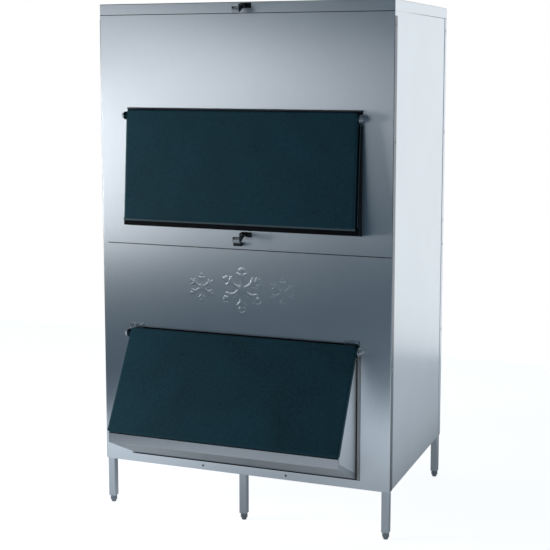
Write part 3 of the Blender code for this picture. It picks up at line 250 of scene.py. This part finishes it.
def finish(name, texture, colours, edge, roughness, bump, radius=0.001, clouds_per_metre=4.0, **shader_values):
    """A material. texture: group and its values; colours: dark and light; edge: colour and amount of the edges'
    wear, which on the door plastic is a painted highlight; roughness: lowest and highest; bump: strength and distance
    in metres."""
    made = bpy.data.materials.new(name)
    made.use_nodes = True
    tree = made.node_tree
    shader = tree.nodes["Principled BSDF"]
    for socket, value in shader_values.items():
        shader.inputs[socket.replace("_", " ").title().replace("Ior", "IOR")].default_value = value
    group, group_values = texture
    fine = add(tree, "Group", group_values_of(group, group_values), node_tree=group)
    soft = add(tree, "Group", {"Radius": radius}, node_tree=edges)
    wiped = add(tree, "Group", {"Clouds per metre": clouds_per_metre}, node_tree=clouds)
    dark, light = colours
    body = add(tree, "Mix", {MIX_COLOUR["a"]: (*dark, 1), MIX_COLOUR["b"]: (*light, 1)}, data_type="RGBA")
    # The edge colour is wear on most finishes, and a painted highlight on the door plastic.
    edge_wear_and_highlight_colour, edge_wear_and_highlight_amount = edge
    edge_wear_and_highlight = add(tree, "Math", {1: edge_wear_and_highlight_amount}, operation="MULTIPLY")
    skin = add(tree, "Mix", {MIX_COLOUR["b"]: (*edge_wear_and_highlight_colour, 1)}, data_type="RGBA")
    tone = add(tree, "Mix", {MIX_FACTOR: 0.5}, data_type="FLOAT")
    rough = add(tree, "MapRange", {"To Min": roughness[0], "To Max": roughness[1]})
    relief = add(tree, "Bump", {"Strength": bump[0], "Distance": bump[1]})
    wire(tree, fine, "Tone", tone, MIX_NUMBER["a"])
    wire(tree, wiped, "Cloud", tone, MIX_NUMBER["b"])
    wire(tree, tone, MIX_NUMBER["out"], body, 0)
    wire(tree, soft, "Edge", edge_wear_and_highlight, 0)
    wire(tree, edge_wear_and_highlight, 0, skin, 0)
    wire(tree, body, MIX_COLOUR["out"], skin, MIX_COLOUR["a"])
    wire(tree, skin, MIX_COLOUR["out"], shader, "Base Color")
    wire(tree, tone, MIX_NUMBER["out"], rough, 0)
    wire(tree, rough, 0, shader, "Roughness")
    wire(tree, fine, "Height", relief, "Height")
    wire(tree, soft, "Normal", relief, "Normal")
    wire(tree, relief, 0, shader, "Normal")
    return made


print("finish recipe ready")

# %% [markdown]
# ## Steel finishes
# The outer sheets, the hopper and the legs are the same stainless steel, in a satin grind. The grind scatters light
# across its lines far more than along them, which is what Anisotropic does. Turned and plated parts are smoother,
# and the catch levers are black oxide steel. The hopper's cheeks get a lighter copy of the steel, which is painted
# light, and its tray, the opening's lips and the corner flanges darker copies, which is painted shade.

# %% Steel
SATIN = dict(metallic=0.95, anisotropic=0.88)
satin_sheet = finish(
    "satin sheet", (lines, (1100, 70)), ((0.635, 0.675, 0.715), (0.695, 0.735, 0.775)),
    ((0.8, 0.82, 0.84), 0.5), (0.305, 0.325), (0.005, 0.0004), **SATIN)
# A lighter copy of the satin steel: painted light on the hopper's cheeks.
cheek_lit_steel = finish(
    "cheek steel painted light", (lines, (900, 40)), ((0.74, 0.76, 0.78), (0.80, 0.82, 0.84)),
    ((0.88, 0.89, 0.91), 0.6), (0.26, 0.32), (0.01, 0.0004), metallic=0.9, anisotropic=0.5)
# A darker copy of the satin steel: painted shade on the hopper's tray.
tray_shade_steel = finish(
    "tray steel painted shade", (lines, (900, 40)), ((0.42, 0.44, 0.465), (0.49, 0.51, 0.535)),
    ((0.86, 0.87, 0.89), 0.6), (0.28, 0.36), (0.01, 0.0004), metallic=0.9, anisotropic=0.5)
# A darker copy of the satin steel: painted shade on the lips of the lower opening.
lip_shade_steel = finish(
    "lip steel painted shade", (lines, (900, 40)), ((0.33, 0.33, 0.33), (0.39, 0.39, 0.39)),
    ((0.5, 0.5, 0.5), 0.5), (0.30, 0.38), (0.01, 0.0004), metallic=0.9)
# A darker copy of the satin steel: painted shade on the folds at the front corners.
flange_shade_steel = finish(
    "flange steel painted shade", (lines, (1100, 70)), ((0.17, 0.19, 0.21), (0.21, 0.23, 0.25)),
    ((0.4, 0.42, 0.44), 0.5), (0.32, 0.35), (0.005, 0.0004), **SATIN)
leg_steel = finish(
    "leg steel", (lines, (1300, 50)), ((0.50, 0.54, 0.585), (0.58, 0.62, 0.665)),
    ((0.84, 0.86, 0.88), 0.8), (0.28, 0.36), (0.02, 0.0004), radius=0.0015, **SATIN)
tank_steel = finish(
    "tank steel", (lines, (500, 12)), ((0.68, 0.69, 0.70), (0.76, 0.77, 0.78)),
    ((0.8, 0.81, 0.82), 0.4), (0.34, 0.46), (0.06, 0.0004), metallic=0.45)
bright_steel = finish(
    "bright steel", (lines, (2500, 8)), ((0.55, 0.56, 0.57), (0.68, 0.69, 0.70)),
    ((0.86, 0.87, 0.88), 0.7), (0.14, 0.24), (0.04, 0.0002), radius=0.0005, metallic=1.0)
pin_steel = finish(
    "pin steel", (lines, (2500, 8)), ((0.50, 0.53, 0.56), (0.60, 0.63, 0.66)),
    ((0.75, 0.77, 0.79), 0.6), (0.34, 0.42), (0.04, 0.0002), radius=0.0008, metallic=0.35)
foot_steel = finish(
    "foot steel", (lines, (2500, 8)), ((0.22, 0.25, 0.28), (0.30, 0.33, 0.36)),
    ((0.55, 0.57, 0.6), 0.6), (0.28, 0.36), (0.04, 0.0002), radius=0.0008, metallic=0.9)
black_steel = finish(
    "black oxide steel", (grain, (3000,)), ((0.012, 0.013, 0.015), (0.028, 0.03, 0.033)),
    ((0.16, 0.16, 0.16), 0.6), (0.3, 0.42), (0.1, 0.0002), radius=0.0005, metallic=0.6)
print("steel finishes:", [m.name for m in bpy.data.materials if "steel" in m.name or "sheet" in m.name])

# %% [markdown]
# ## Plastic, rubber and foam finishes
# The door shells are a very dark blue-green plastic with a fine skin that hides scratches, and their rims get a
# paler edge colour, which is a painted highlight. The upper door's round foot and sides are edged in a paler plastic,
# whose round form takes real light and whose paler colour is a painted highlight. The frame round the upper opening
# is black and smoother, with a rim whose grey is a painted highlight. The seal and the buffer are matt rubber. The
# insulation is yellow foam, seen only when a sheet is taken off.

# %% Plastic, rubber and foam
# The door's paler edge colour is a painted highlight along its rims.
door_plastic = finish(
    "door plastic", (grain, (130,)), ((0.001, 0.010, 0.020), (0.013, 0.063, 0.092)),
    ((0.07, 0.12, 0.15), 0.7), (0.6, 0.7), (0.4, 0.0006), radius=0.004, specular_ior_level=0.7,
    specular_tint=(0.35, 0.85, 1.0, 1))
# The paler colour is a painted highlight on the upper door's foot and side lines.
piping_highlight_plastic = finish(
    "piping plastic painted highlight", (grain, (600,)), ((0.080, 0.130, 0.150), (0.115, 0.175, 0.200)),
    ((0.10, 0.14, 0.17), 0.5), (0.4, 0.5), (0.1, 0.0003), radius=0.001)
# The grey colour is a painted highlight on the rim of the upper frame.
rim_highlight_plastic = finish(
    "rim plastic painted highlight", (grain, (600,)), ((0.09, 0.105, 0.115), (0.13, 0.145, 0.16)),
    ((0.3, 0.31, 0.32), 0.5), (0.4, 0.5), (0.1, 0.0003), radius=0.001)
lining_plastic = finish(
    "door lining plastic", (grain, (900,)), ((0.42, 0.44, 0.45), (0.50, 0.52, 0.53)),
    ((0.6, 0.62, 0.63), 0.5), (0.45, 0.6), (0.15, 0.0004), radius=0.0015)
frame_plastic = finish(
    "black frame plastic", (grain, (1200,)), ((0.002, 0.003, 0.005), (0.006, 0.007, 0.010)),
    ((0.035, 0.04, 0.045), 0.6), (0.36, 0.46), (0.12, 0.0003), radius=0.0015, specular_ior_level=0.1)
rubber = finish(
    "black rubber", (grain, (1500,)), ((0.010, 0.010, 0.011), (0.020, 0.020, 0.021)),
    ((0.05, 0.05, 0.05), 0.4), (0.62, 0.78), (0.2, 0.0003), radius=0.001)
drain_plastic = finish(
    "drain plastic", (grain, (1500,)), ((0.60, 0.61, 0.60), (0.68, 0.69, 0.68)),
    ((0.75, 0.75, 0.75), 0.4), (0.35, 0.5), (0.1, 0.0003))
foam = finish(
    "insulation foam", (grain, (420,)), ((0.62, 0.48, 0.20), (0.78, 0.64, 0.32)),
    ((0.85, 0.72, 0.42), 0.5), (0.8, 0.95), (0.8, 0.0012), clouds_per_metre=12.0)
print("finishes in all:", len(bpy.data.materials))

# %% [markdown]
# ## Dressing the parts
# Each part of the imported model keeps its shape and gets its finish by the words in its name, which is shorter than a
# line for each part. The first words that fit are used, so the list goes from the particular to the general, and
# ends with the satin sheet for all that is left.

# %% Give every part its finish
FINISH_BY_NAME = (
    ("door_shell", door_plastic), ("door_core", foam), ("door_lining", lining_plastic),
    ("insulation_foam", foam), ("liner", tank_steel), ("drain", drain_plastic),
    ("upper_door_frame", frame_plastic), ("opening_trim", frame_plastic),
    ("hopper_seal", rubber), ("buffer", rubber), ("cheek", cheek_lit_steel), ("hopper", tray_shade_steel),
    ("catch_bracket", black_steel), ("catch_arm", black_steel), ("roller", pin_steel), ("catch", bright_steel),
    ("bracket", bright_steel), ("pin", pin_steel), ("foot", foot_steel), ("leg", leg_steel),
    ("", satin_sheet),
)
for name, part in nodes.items():
    chosen = next(look for words, look in FINISH_BY_NAME if words in name)
    if not part.material_slots:
        part.data.materials.append(None)
    for place in part.material_slots:
        place.material = chosen
print("dressed:", len(nodes), "parts")

# %% [markdown]
# ## The pressed relief
# Below the seam the front panel has a relief pressed into the sheet. Snow crystals suit an ice bin and belong to
# nobody. A crystal is a skeleton of six spokes with side twigs. Blender's Skin modifier grows a round body over
# such a skeleton, and joins it cleanly at every fork. Flattened and half sunk in the panel, so that it stands half a
# millimetre proud, it reads as pressed metal with soft shoulders.

# %% Snow crystals
front_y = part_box("upper_front_panel")[0].y
RELIEF_HEIGHT = 0.848
RELIEF_ROUND, RELIEF_SUNK = 0.0010, 0.0005
SPOKES = 6
FORKS = ((0.34, 0.0), (0.58, 0.30), (0.80, 0.20), (1.0, 0.0))
CRYSTALS = ((-0.155, 0.056, 0.0062), (0.0, 0.084, 0.0084), (0.155, 0.056, 0.0062))


def crystal_skeleton(bm, centre_x, size, width):
    """Spokes from one hub, each with two pairs of twigs, as loose edges in the front's plane."""
    skin = bm.verts.layers.skin.verify()
    hub = bm.verts.new((0, 0, 0))
    made = [hub]
    hub[skin].use_root = True
    for spoke in range(SPOKES):
        turn = Matrix.Rotation(spoke * pi / 3, 3, "Y")
        last = hub
        for share, twig in FORKS:
            fork = Vector((0, 0, size * share))
            point = bm.verts.new(turn @ fork)
            bm.edges.new((last, point))
            made.append(point)
            for lean in (-pi / 3, pi / 3) if twig else ():
                way = Matrix.Rotation(lean, 3, "Y") @ Vector((0, 0, size * twig))
                made.append(bm.verts.new(turn @ (fork + way)))
                bm.edges.new((point, made[-1]))
            last = point
    for point in made:
        point[skin].radius = (width, width)
    bmesh.ops.translate(bm, verts=made, vec=(centre_x, 0, RELIEF_HEIGHT))


mesh = bpy.data.meshes.new("crystal skeletons")
bm = bmesh.new()
for centre_x, size, width in CRYSTALS:
    crystal_skeleton(bm, centre_x, size, width)
bm.to_mesh(mesh)
bm.free()
skeleton = bpy.data.objects.new("crystal skeletons", mesh)
scene.collection.objects.link(skeleton)
skeleton.modifiers.new("skin", "SKIN").use_smooth_shade = True
smooth = skeleton.modifiers.new("smooth", "SUBSURF")
smooth.levels = smooth.render_levels = 2
bpy.context.view_layer.update()
relief_mesh = bpy.data.meshes.new_from_object(skeleton.evaluated_get(bpy.context.evaluated_depsgraph_get()))
bpy.data.objects.remove(skeleton)
thickness = max(v.co.y for v in relief_mesh.vertices)
flatten = Matrix.Diagonal((1, RELIEF_ROUND / thickness, 1, 1))
relief_mesh.transform(Matrix.Translation((0, front_y + RELIEF_SUNK, 0)) @ flatten)
relief = bpy.data.objects.new("pressed_snow_crystals", relief_mesh)
scene.collection.objects.link(relief)
relief.data.materials.clear()
relief.data.materials.append(satin_sheet)
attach(relief, "cabinet")
proud = (RELIEF_ROUND - RELIEF_SUNK) * 1000
print("relief:", len(relief_mesh.polygons), "faces, proud of the sheet by", round(proud, 1), "mm")

# %% [markdown]
# ## Small helpers for new pieces
# The next details are thin flat forms. One helper pushes a face out of its plane, the other turns what was built
# into an object with one material. The object stays at the origin, because its place is already in its mesh.

# %% Mesh helpers
def push_out(bm, face, way):
    """Extrudes a face along a vector, and gives back the faces at its new place."""
    made = bmesh.ops.extrude_face_region(bm, geom=[face])["geom"]
    bmesh.ops.translate(bm, verts=[v for v in made if isinstance(v, bmesh.types.BMVert)], vec=way)
    return [f for f in made if isinstance(f, bmesh.types.BMFace)]


def settle(bm, name, material):
    """Turns what was built into an object of the scene that lies where it was built."""
    mesh = bpy.data.meshes.new(name)
    bm.to_mesh(mesh)
    bm.free()
    made = bpy.data.objects.new(name, mesh)
    scene.collection.objects.link(made)
    mesh.materials.append(material)
    return made


print("mesh helpers ready")

# %% [markdown]
# ## Lips of the lower opening
# The sheet turns out in a narrow lip down both sides of the lower opening, over the outer half of the trim. Each lip
# is an inset of a flat strip that is pressed up, so its two long edges slope like a fold. The lips' steel is darker
# than the sheet's, which is painted shade.

# %% Opening lips
trim_low, trim_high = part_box("opening_trim")
LIP_WIDTH, LIP_PROUD, LIP_SLOPE = 0.0105, 0.0008, 0.002
FOOT_GAP, HEAD_GAP = 0.002, 0.03
lip_foot, lip_top = trim_low.z + FOOT_GAP, trim_high.z - HEAD_GAP
for side, outer in (("left", trim_low.x), ("right", trim_high.x)):
    inner = outer - LIP_WIDTH if side == "right" else outer + LIP_WIDTH
    low_x, high_x = sorted((inner, outer))
    bm = bmesh.new()
    corners = ((low_x, lip_foot), (high_x, lip_foot), (high_x, lip_top), (low_x, lip_top))
    strip = bm.faces.new([bm.verts.new((x, trim_low.y, z)) for x, z in corners])
    raised = push_out(bm, strip, (0, -LIP_PROUD, 0))
    bmesh.ops.inset_region(bm, faces=raised, thickness=LIP_SLOPE, depth=0.0)
    bmesh.ops.recalc_face_normals(bm, faces=bm.faces)
    lip = settle(bm, "opening_lip_" + side, lip_shade_steel)
    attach(lip, "cabinet")
print("lips:", round(lip_top - lip_foot, 3), "m long")

# %% [markdown]
# ## Sealed seams
# Where two sheets meet, the maker wipes a thin line of dark silicone into the joint, so that water can't creep
# behind them. Here it closes the joint between the two front panels, and the one under the lid on three sides. A
# bead is a slim round bar laid in the joint, which shows as a fine dark line. It is drawn as a curve with a round
# section, because a curve turns the lid's corners by itself, and then made a mesh.

# %% Silicone beads
SEAM_HEIGHT, LID_SEAM_HEIGHT = 0.9925, 1.8160
SEAM_START, SEAM_SHORT = -0.530, 0.002
BEAD_RADIUS = 0.0019
side_x, back_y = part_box("top_cover")[1].xy


def bead(name, points, material, radius=BEAD_RADIUS):
    """A round bead along a line of corner points, as a mesh that sits in place."""
    curve = bpy.data.curves.new(name, "CURVE")
    curve.dimensions = "3D"
    curve.bevel_depth = radius
    curve.bevel_resolution = 3
    curve.use_fill_caps = True
    line = curve.splines.new("POLY")
    line.points.add(len(points) - 1)
    for place, point in zip(line.points, points):
        place.co = (*point, 1)
    laid = bpy.data.objects.new(name, curve)
    scene.collection.objects.link(laid)
    bpy.context.view_layer.update()
    mesh = bpy.data.meshes.new_from_object(laid.evaluated_get(bpy.context.evaluated_depsgraph_get()))
    bpy.data.objects.remove(laid)
    made = bpy.data.objects.new(name, mesh)
    scene.collection.objects.link(made)
    mesh.materials.clear()
    mesh.materials.append(material)
    return made


sunk = BEAD_RADIUS / 2
inner_x, inner_front, inner_back = side_x - SEAM_SHORT - sunk, front_y + sunk, back_y - sunk
seam_lines = {
    "front_seam_bead": [(SEAM_START, inner_front, SEAM_HEIGHT), (inner_x, inner_front, SEAM_HEIGHT)],
    "lid_seam_bead": [(x, y, LID_SEAM_HEIGHT) for x, y in (
        (-inner_x, inner_back), (-inner_x, inner_front), (inner_x, inner_front), (inner_x, inner_back))],
}
for name, points in seam_lines.items():
    laid = bead(name, points, rubber)
    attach(laid, "cabinet")
    print(name, [round(v, 4) for v in laid.dimensions])

# %% [markdown]
# The upper opening is edged too. A rim lies along the top of its black frame, its grey a painted highlight. The door
# has a round foot, and a slim line of the same paler plastic along the rear edge of its right and left sides, where
# light catches the door's edges: their round form takes real light, and their paler colour is a painted highlight.
# All are beads too, and the shell's own corners, in thin slices at its front, foot and head, tell where those of the
# door lie.

# %% Rim and door foot
RIM_RADIUS, FOOT_RADIUS, SIDE_RADIUS = 0.0034, 0.0042, 0.0014
RIM_OUT, RIM_DOWN, RIM_SHORT, FOOT_DOWN = 0.0053, 0.0026, 0.002, 0.002
FRONT_SLICE, FOOT_SLICE, HEAD_SLICE = 0.004, 0.006, 0.03
frame_low, frame_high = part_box("upper_door_frame")
rim_y, rim_z = front_y - RIM_OUT, frame_high.z - RIM_DOWN
rim_ends = (frame_low.x + RIM_SHORT, frame_high.x - RIM_SHORT)
rim = bead("frame_rim", [(x, rim_y, rim_z) for x in rim_ends], rim_highlight_plastic, RIM_RADIUS)
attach(rim, "cabinet")
shell_low, shell_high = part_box("upper_door_shell")
corners = [v.co for v in nodes["upper_door_shell"].data.vertices]
foot_z = min(co.z for co in corners if co.y < shell_low.y + FRONT_SLICE)
foot_x = shell_high.x - FOOT_RADIUS
foot = bead("upper_door_foot", [(x, shell_low.y + FOOT_RADIUS, foot_z - FOOT_DOWN) for x in (-foot_x, foot_x)],
            piping_highlight_plastic, FOOT_RADIUS)
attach(foot, "upper_door")
rear_foot = max((co for co in corners if co.z < shell_low.z + FOOT_SLICE), key=lambda co: co.y)
rear_head = max((co for co in corners if co.z > shell_high.z - HEAD_SLICE), key=lambda co: co.y)
for side, edge_x in (("left", shell_low.x), ("right", shell_high.x)):
    line = bead("upper_door_side_" + side, [(edge_x, co.y - SIDE_RADIUS, co.z) for co in (rear_foot, rear_head)],
                piping_highlight_plastic, SIDE_RADIUS)
    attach(line, "upper_door")
print("rim:", [round(v, 4) for v in rim.dimensions], "foot:", [round(v, 4) for v in foot.dimensions])

# %% [markdown]
# ## Corner flanges
# The front sheets wrap round the bin's corners in a narrow flange, whose fold lies in shade. The imported sheets
# have one finish all over, and their meshes stay as they are, so a thin darker strip on each flange carries that
# shade as painted shade.

# %% Corner flanges
FLANGE_THICK, FLANGE_WIDTH, FLANGE_LENGTH = 0.0008, 0.029, 1.625
FLANGE_PROUD, FLANGE_BACK, FLANGE_MIDDLE = 0.0003, 0.0004, 0.988
flange_x = side_x + FLANGE_PROUD - FLANGE_THICK / 2
flange_y = front_y + FLANGE_BACK + FLANGE_WIDTH / 2
for side, x in (("left", -flange_x), ("right", flange_x)):
    bm = bmesh.new()
    bmesh.ops.create_cube(bm, size=1)
    bmesh.ops.scale(bm, verts=bm.verts, vec=(FLANGE_THICK, FLANGE_WIDTH, FLANGE_LENGTH))
    bmesh.ops.translate(bm, verts=bm.verts, vec=(x, flange_y, FLANGE_MIDDLE))
    flange = settle(bm, "corner_flange_shade_" + side, flange_shade_steel)
    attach(flange, "cabinet")
print("flange:", [round(v, 4) for v in flange.dimensions])

# %% [markdown]
# ## Screws
# Each screw that holds the front sheets has a cross recess in its head. Cutting the recesses would change the
# sheets' meshes, so a dark plus sign, a fifth of a millimetre thick, lies on each head instead: painted shade of the
# recess. The heads are found from the sheets themselves: they are the only corners that stand beyond the plane of
# the sheet.

# %% Screw recesses
RECESS_REACH, RECESS_HALF, RECESS_PROUD = 0.0042, 0.0012, 0.0002
HEAD_DEPTH, HEAD_SPACING = 0.0003, 0.03
SCREWED_SIDES = (
    ("upper_front_panel", 0, 1), ("upper_front_panel", 0, -1),
    ("lower_front_panel", 0, 1), ("lower_front_panel", 0, -1), ("lower_front_panel", 1, -1))


def screw_heads(name, axis, sign):
    """Centres of the screw heads that stand beyond the outer plane of a sheet, in one direction."""
    points = [v.co for v in nodes[name].data.vertices]
    top = max(sign * p[axis] for p in points)
    found = []
    for p in (p for p in points if sign * p[axis] > top - HEAD_DEPTH):
        near = next((group for group in found if (group[0] - p).length < HEAD_SPACING), None)
        if near:
            near.append(p)
        else:
            found.append([p])
    return [sum(group, Vector()) / len(group) for group in found]


def cross(bm, centre, axis, sign):
    """A thin raised dark plus sign on a screw head, painted shade that stands for its recess."""
    r, w = RECESS_REACH, RECESS_HALF
    plus = (
        (-w, -r), (w, -r), (w, -w), (r, -w), (r, w), (w, w),
        (w, r), (-w, r), (-w, w), (-r, w), (-r, -w), (-w, -w))
    out = Vector((0, 0, 0))
    out[axis] = sign * RECESS_PROUD
    across = Vector((0, 1, 0)) if axis == 0 else Vector((1, 0, 0))
    face = bm.faces.new([bm.verts.new(centre + across * u + Vector((0, 0, v))) for u, v in plus])
    push_out(bm, face, out)


bm = bmesh.new()
count = 0
for name, axis, sign in SCREWED_SIDES:
    for centre in screw_heads(name, axis, sign):
        cross(bm, centre, axis, sign)
        count += 1
bmesh.ops.recalc_face_normals(bm, faces=bm.faces)
# Black plus signs on the heads: painted shade of the recesses.
recesses = settle(bm, "screw_recess_shade", rubber)
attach(recesses, "cabinet")
print("screw recesses:", count)

# %% [markdown]
# ## The studio
# The floor is a pale sheet that runs on behind the bin. The camera sees the surroundings as plain white, with the
# floor's own light added nearly up to white, so that only the bin's soft shadow shows on it. Steel shows what stands
# round it, so the looks of the front come from what is in front of it: a tall lamp and a fading card at the left, a
# pale floor close by and a dim room further off. For the steel the floor glows with painted light, brightest on the
# lamp's side as a painted pool of light. Two profiles, one towards the front and one towards the side, paint the
# bin's shadow on that glow and on the floor's matt colour for all but camera rays, dark under the bin and close to
# its right. Its front edge runs slantwise, so its reflection ends in a slanting line.

# %% Floor
# Painted light on the floor: a glow that only reflections see, a pool of it on the lamp's side, and profiles that
# paint the bin's shadow on it.
FLOOR_COLOUR = (0.72, 0.77, 0.80, 1)
FLOOR_LIFT = 0.84
FLOOR_PAINTED_GLOW = (1.51, 1.63, 1.74, 1)
FRONT_PAINTED_SHADE = ((-1.8, 1.0), (-1.6, 0.95), (-1.25, 0.80), (-0.8, 0.50), (-0.36, 0.46), (-0.2, 0.34), (0.1, 0.29))
SIDE_PAINTED_SHADE = ((0.66, 0.04), (1.02, 0.62), (1.3, 0.66))
LAMP_SIDE_PAINTED_LIGHT = ((-1.2, 1.0), (-0.5, 0.74), (-0.2, 0.46), (0.0, 0.37), (0.14, 0.42), (0.3, 0.50), (1.2, 0.57))
FLOOR_CORNERS = ((-5.0, 1.25), (5.0, -4.79), (5.0, 2.5), (-5.0, 2.5))

floor_look = bpy.data.materials.new("pale floor")
floor_look.use_nodes = True
tree = floor_look.node_tree
tree.nodes.clear()
rays = add(tree, "LightPath")
lift = add(tree, "Math", {1: FLOOR_LIFT}, operation="MULTIPLY")
glow = add(tree, "Emission")
painted_glow = add(tree, "Emission", {"Color": FLOOR_PAINTED_GLOW})
painted_glow_here = add(tree, "Math", operation="MULTIPLY")
painted_glow_lamp_side = add(tree, "Math", operation="MULTIPLY")
place = add(tree, "TexCoord")
parts = add(tree, "SeparateXYZ")
front_shade_ramp = profile(tree, parts, "Y", FRONT_PAINTED_SHADE)
side_shade_ramp = profile(tree, parts, "X", SIDE_PAINTED_SHADE)
lamp_pool_ramp = profile(tree, parts, "X", LAMP_SIDE_PAINTED_LIGHT)
# Painted shadow of the bin on the floor, which darkens both its glow and its matt colour.
painted_floor_shade = add(tree, "Math", operation="MAXIMUM")
seen = add(tree, "Math", operation="MAXIMUM")
painted_shade_colour = add(tree, "Mix", {MIX_COLOUR["a"]: (0, 0, 0, 1), MIX_COLOUR["b"]: FLOOR_COLOUR}, data_type="RGBA")
matt = add(tree, "BsdfDiffuse")
lit = add(tree, "AddShader")
both = add(tree, "AddShader")
out = add(tree, "OutputMaterial")
wire(tree, place, "Object", parts, 0)
wire(tree, side_shade_ramp, 0, painted_floor_shade, 0)
wire(tree, front_shade_ramp, 0, painted_floor_shade, 1)
wire(tree, painted_floor_shade, 0, seen, 0)
wire(tree, rays, "Is Camera Ray", seen, 1)
wire(tree, seen, 0, painted_shade_colour, 0)
wire(tree, painted_shade_colour, MIX_COLOUR["out"], matt, "Color")
wire(tree, rays, "Is Camera Ray", lift, 0)
wire(tree, lift, 0, glow, "Strength")
wire(tree, rays, "Is Glossy Ray", painted_glow_here, 0)
wire(tree, painted_floor_shade, 0, painted_glow_here, 1)
wire(tree, painted_glow_here, 0, painted_glow_lamp_side, 0)
wire(tree, lamp_pool_ramp, 0, painted_glow_lamp_side, 1)
wire(tree, painted_glow_lamp_side, 0, painted_glow, "Strength")
wire(tree, glow, 0, lit, 0)
wire(tree, painted_glow, 0, lit, 1)
wire(tree, lit, 0, both, 0)
wire(tree, matt, 0, both, 1)
wire(tree, both, 0, out, "Surface")

bm = bmesh.new()
bm.faces.new([bm.verts.new((x, y, 0)) for x, y in FLOOR_CORNERS])
floor = settle(bm, "floor", floor_look)
print("floor:", [round(v, 2) for v in floor.dimensions])

# %% [markdown]
# The room round the bin is bright behind it and dim in front of it, where the camera stands. A ramp from front to
# back over the direction of the light does that, and a second one keeps the ceiling dim all round. The camera itself
# sees plain white there.

# %% Room light
ROOM_DIM, ROOM_BRIGHT, ROOM_CEILING = (0.055, 0.09, 0.12, 1), (1.31, 1.34, 1.36, 1), (0.085, 0.105, 0.125, 1)
BACK_RAMP, CEILING_RAMP = (-0.35, 0.55), (0.1, 0.6)

world = bpy.data.worlds.new("studio")
scene.world = world
world.use_nodes = True
tree = world.node_tree
tree.nodes.clear()
towards = add(tree, "TexCoord")
parts = add(tree, "SeparateXYZ")
behind = smooth_ramp(tree, *BACK_RAMP)
above = smooth_ramp(tree, *CEILING_RAMP)
level = add(tree, "Mix", {MIX_COLOUR["a"]: ROOM_DIM, MIX_COLOUR["b"]: ROOM_BRIGHT}, data_type="RGBA")
ceiling = add(tree, "Mix", {MIX_COLOUR["b"]: ROOM_CEILING}, data_type="RGBA")
room = add(tree, "Background")
white = add(tree, "Background", {"Color": (1, 1, 1, 1)})
rays = add(tree, "LightPath")
choice = add(tree, "MixShader")
out = add(tree, "OutputWorld")
wire(tree, towards, "Generated", parts, 0)
wire(tree, parts, "Y", behind, 0)
wire(tree, parts, "Z", above, 0)
wire(tree, behind, 0, level, 0)
wire(tree, level, MIX_COLOUR["out"], ceiling, MIX_COLOUR["a"])
wire(tree, above, 0, ceiling, 0)
wire(tree, ceiling, MIX_COLOUR["out"], room, "Color")
wire(tree, rays, "Is Camera Ray", choice, 0)
wire(tree, room, 0, choice, 1)
wire(tree, white, 0, choice, 2)
wire(tree, choice, 0, out, "Surface")
print("room light: bright behind, dim in front")

# %% [markdown]
# The card is a large sheet of light in front of the bin, at the left. Its glow fades to the right and to the foot
# along slanting lines, and ends sharply at the top. The camera doesn't see it, only its reflection in the steel.

# %% Light card
CARD_OUT = -2.77
CARD_SPAN, CARD_FOOT, CARD_TOP = (-4.2, 0.3), 0.0, 2.5
CARD_POWER = 2.30
CARD_GLOW = (
    (-2.2, 0.60), (-1.9, 0.84), (-1.54, 1.0), (-1.16, 1.0), (-0.84, 0.70), (-0.54, 0.18), (-0.34, 0.0), (0.3, 0.0))
CARD_HEIGHTS = ((0.94, 0.36), (1.11, 0.54), (1.25, 0.92), (1.345, 1.0), (1.42, 0.0))
FOOT_FADE = (1.04, 1.60)
LOW_SLANT, HIGH_SLANT = -0.45, 0.35

card_look = bpy.data.materials.new("light card")
card_look.use_nodes = True
tree = card_look.node_tree
tree.nodes.clear()
place = add(tree, "TexCoord")
parts = add(tree, "SeparateXYZ")
low_slant = add(tree, "Math", {1: LOW_SLANT}, operation="MULTIPLY_ADD")
high_slant = add(tree, "Math", {1: HIGH_SLANT}, operation="MULTIPLY_ADD")
across = profile(tree, parts, "X", CARD_GLOW)
foot_fade = smooth_ramp(tree, *FOOT_FADE)
top_fade = profile(tree, high_slant, 0, CARD_HEIGHTS)
narrowed = add(tree, "Math", operation="MULTIPLY")
power = add(tree, "Math", operation="MULTIPLY")
shine = add(tree, "Emission", {"Color": (CARD_POWER, CARD_POWER, CARD_POWER, 1)})
dim = add(tree, "Emission", {"Color": ROOM_DIM})
both = add(tree, "AddShader")
out = add(tree, "OutputMaterial")
wire(tree, place, "Object", parts, 0)
for slant in (low_slant, high_slant):
    wire(tree, parts, "X", slant, 0)
    wire(tree, parts, "Z", slant, 2)
wire(tree, low_slant, 0, foot_fade, 0)
wire(tree, foot_fade, 0, narrowed, 0)
wire(tree, top_fade, 0, narrowed, 1)
wire(tree, across, 0, power, 0)
wire(tree, narrowed, 0, power, 1)
wire(tree, power, 0, shine, "Strength")
wire(tree, shine, 0, both, 0)
wire(tree, dim, 0, both, 1)
wire(tree, both, 0, out, "Surface")

bm = bmesh.new()
left, right = CARD_SPAN
card_corners = ((left, CARD_FOOT), (right, CARD_FOOT), (right, CARD_TOP), (left, CARD_TOP))
bm.faces.new([bm.verts.new((x, CARD_OUT, z)) for x, z in card_corners])
card = settle(bm, "light_card", card_look)
card.visible_camera = False
card.visible_shadow = False
print("card:", [round(v, 2) for v in card.dimensions])

# %% [markdown]
# A tall lamp stands far to the left. It lights the dark doors and the knobs, and throws the soft shadows to the
# right of the door edges. It is an area lamp, because the size of the lamp is what makes a shadow's edge soft.

# %% Side lamp
LAMP_PLACE, LAMP_AIM = Vector((-2.7, -1.5, 1.10)), Vector((0, -0.26, 0.9))
LAMP_SIZE, LAMP_WATTS = (0.5, 0.98), 24

lamp = bpy.data.objects.new("side lamp", bpy.data.lights.new("side lamp", "AREA"))
scene.collection.objects.link(lamp)
lamp.data.shape = "RECTANGLE"
lamp.data.size, lamp.data.size_y = LAMP_SIZE
lamp.data.energy = LAMP_WATTS
lamp.location = LAMP_PLACE
lamp.rotation_euler = (LAMP_AIM - LAMP_PLACE).to_track_quat("-Z", "Y").to_euler()
print("side lamp:", lamp.data.energy, "W")
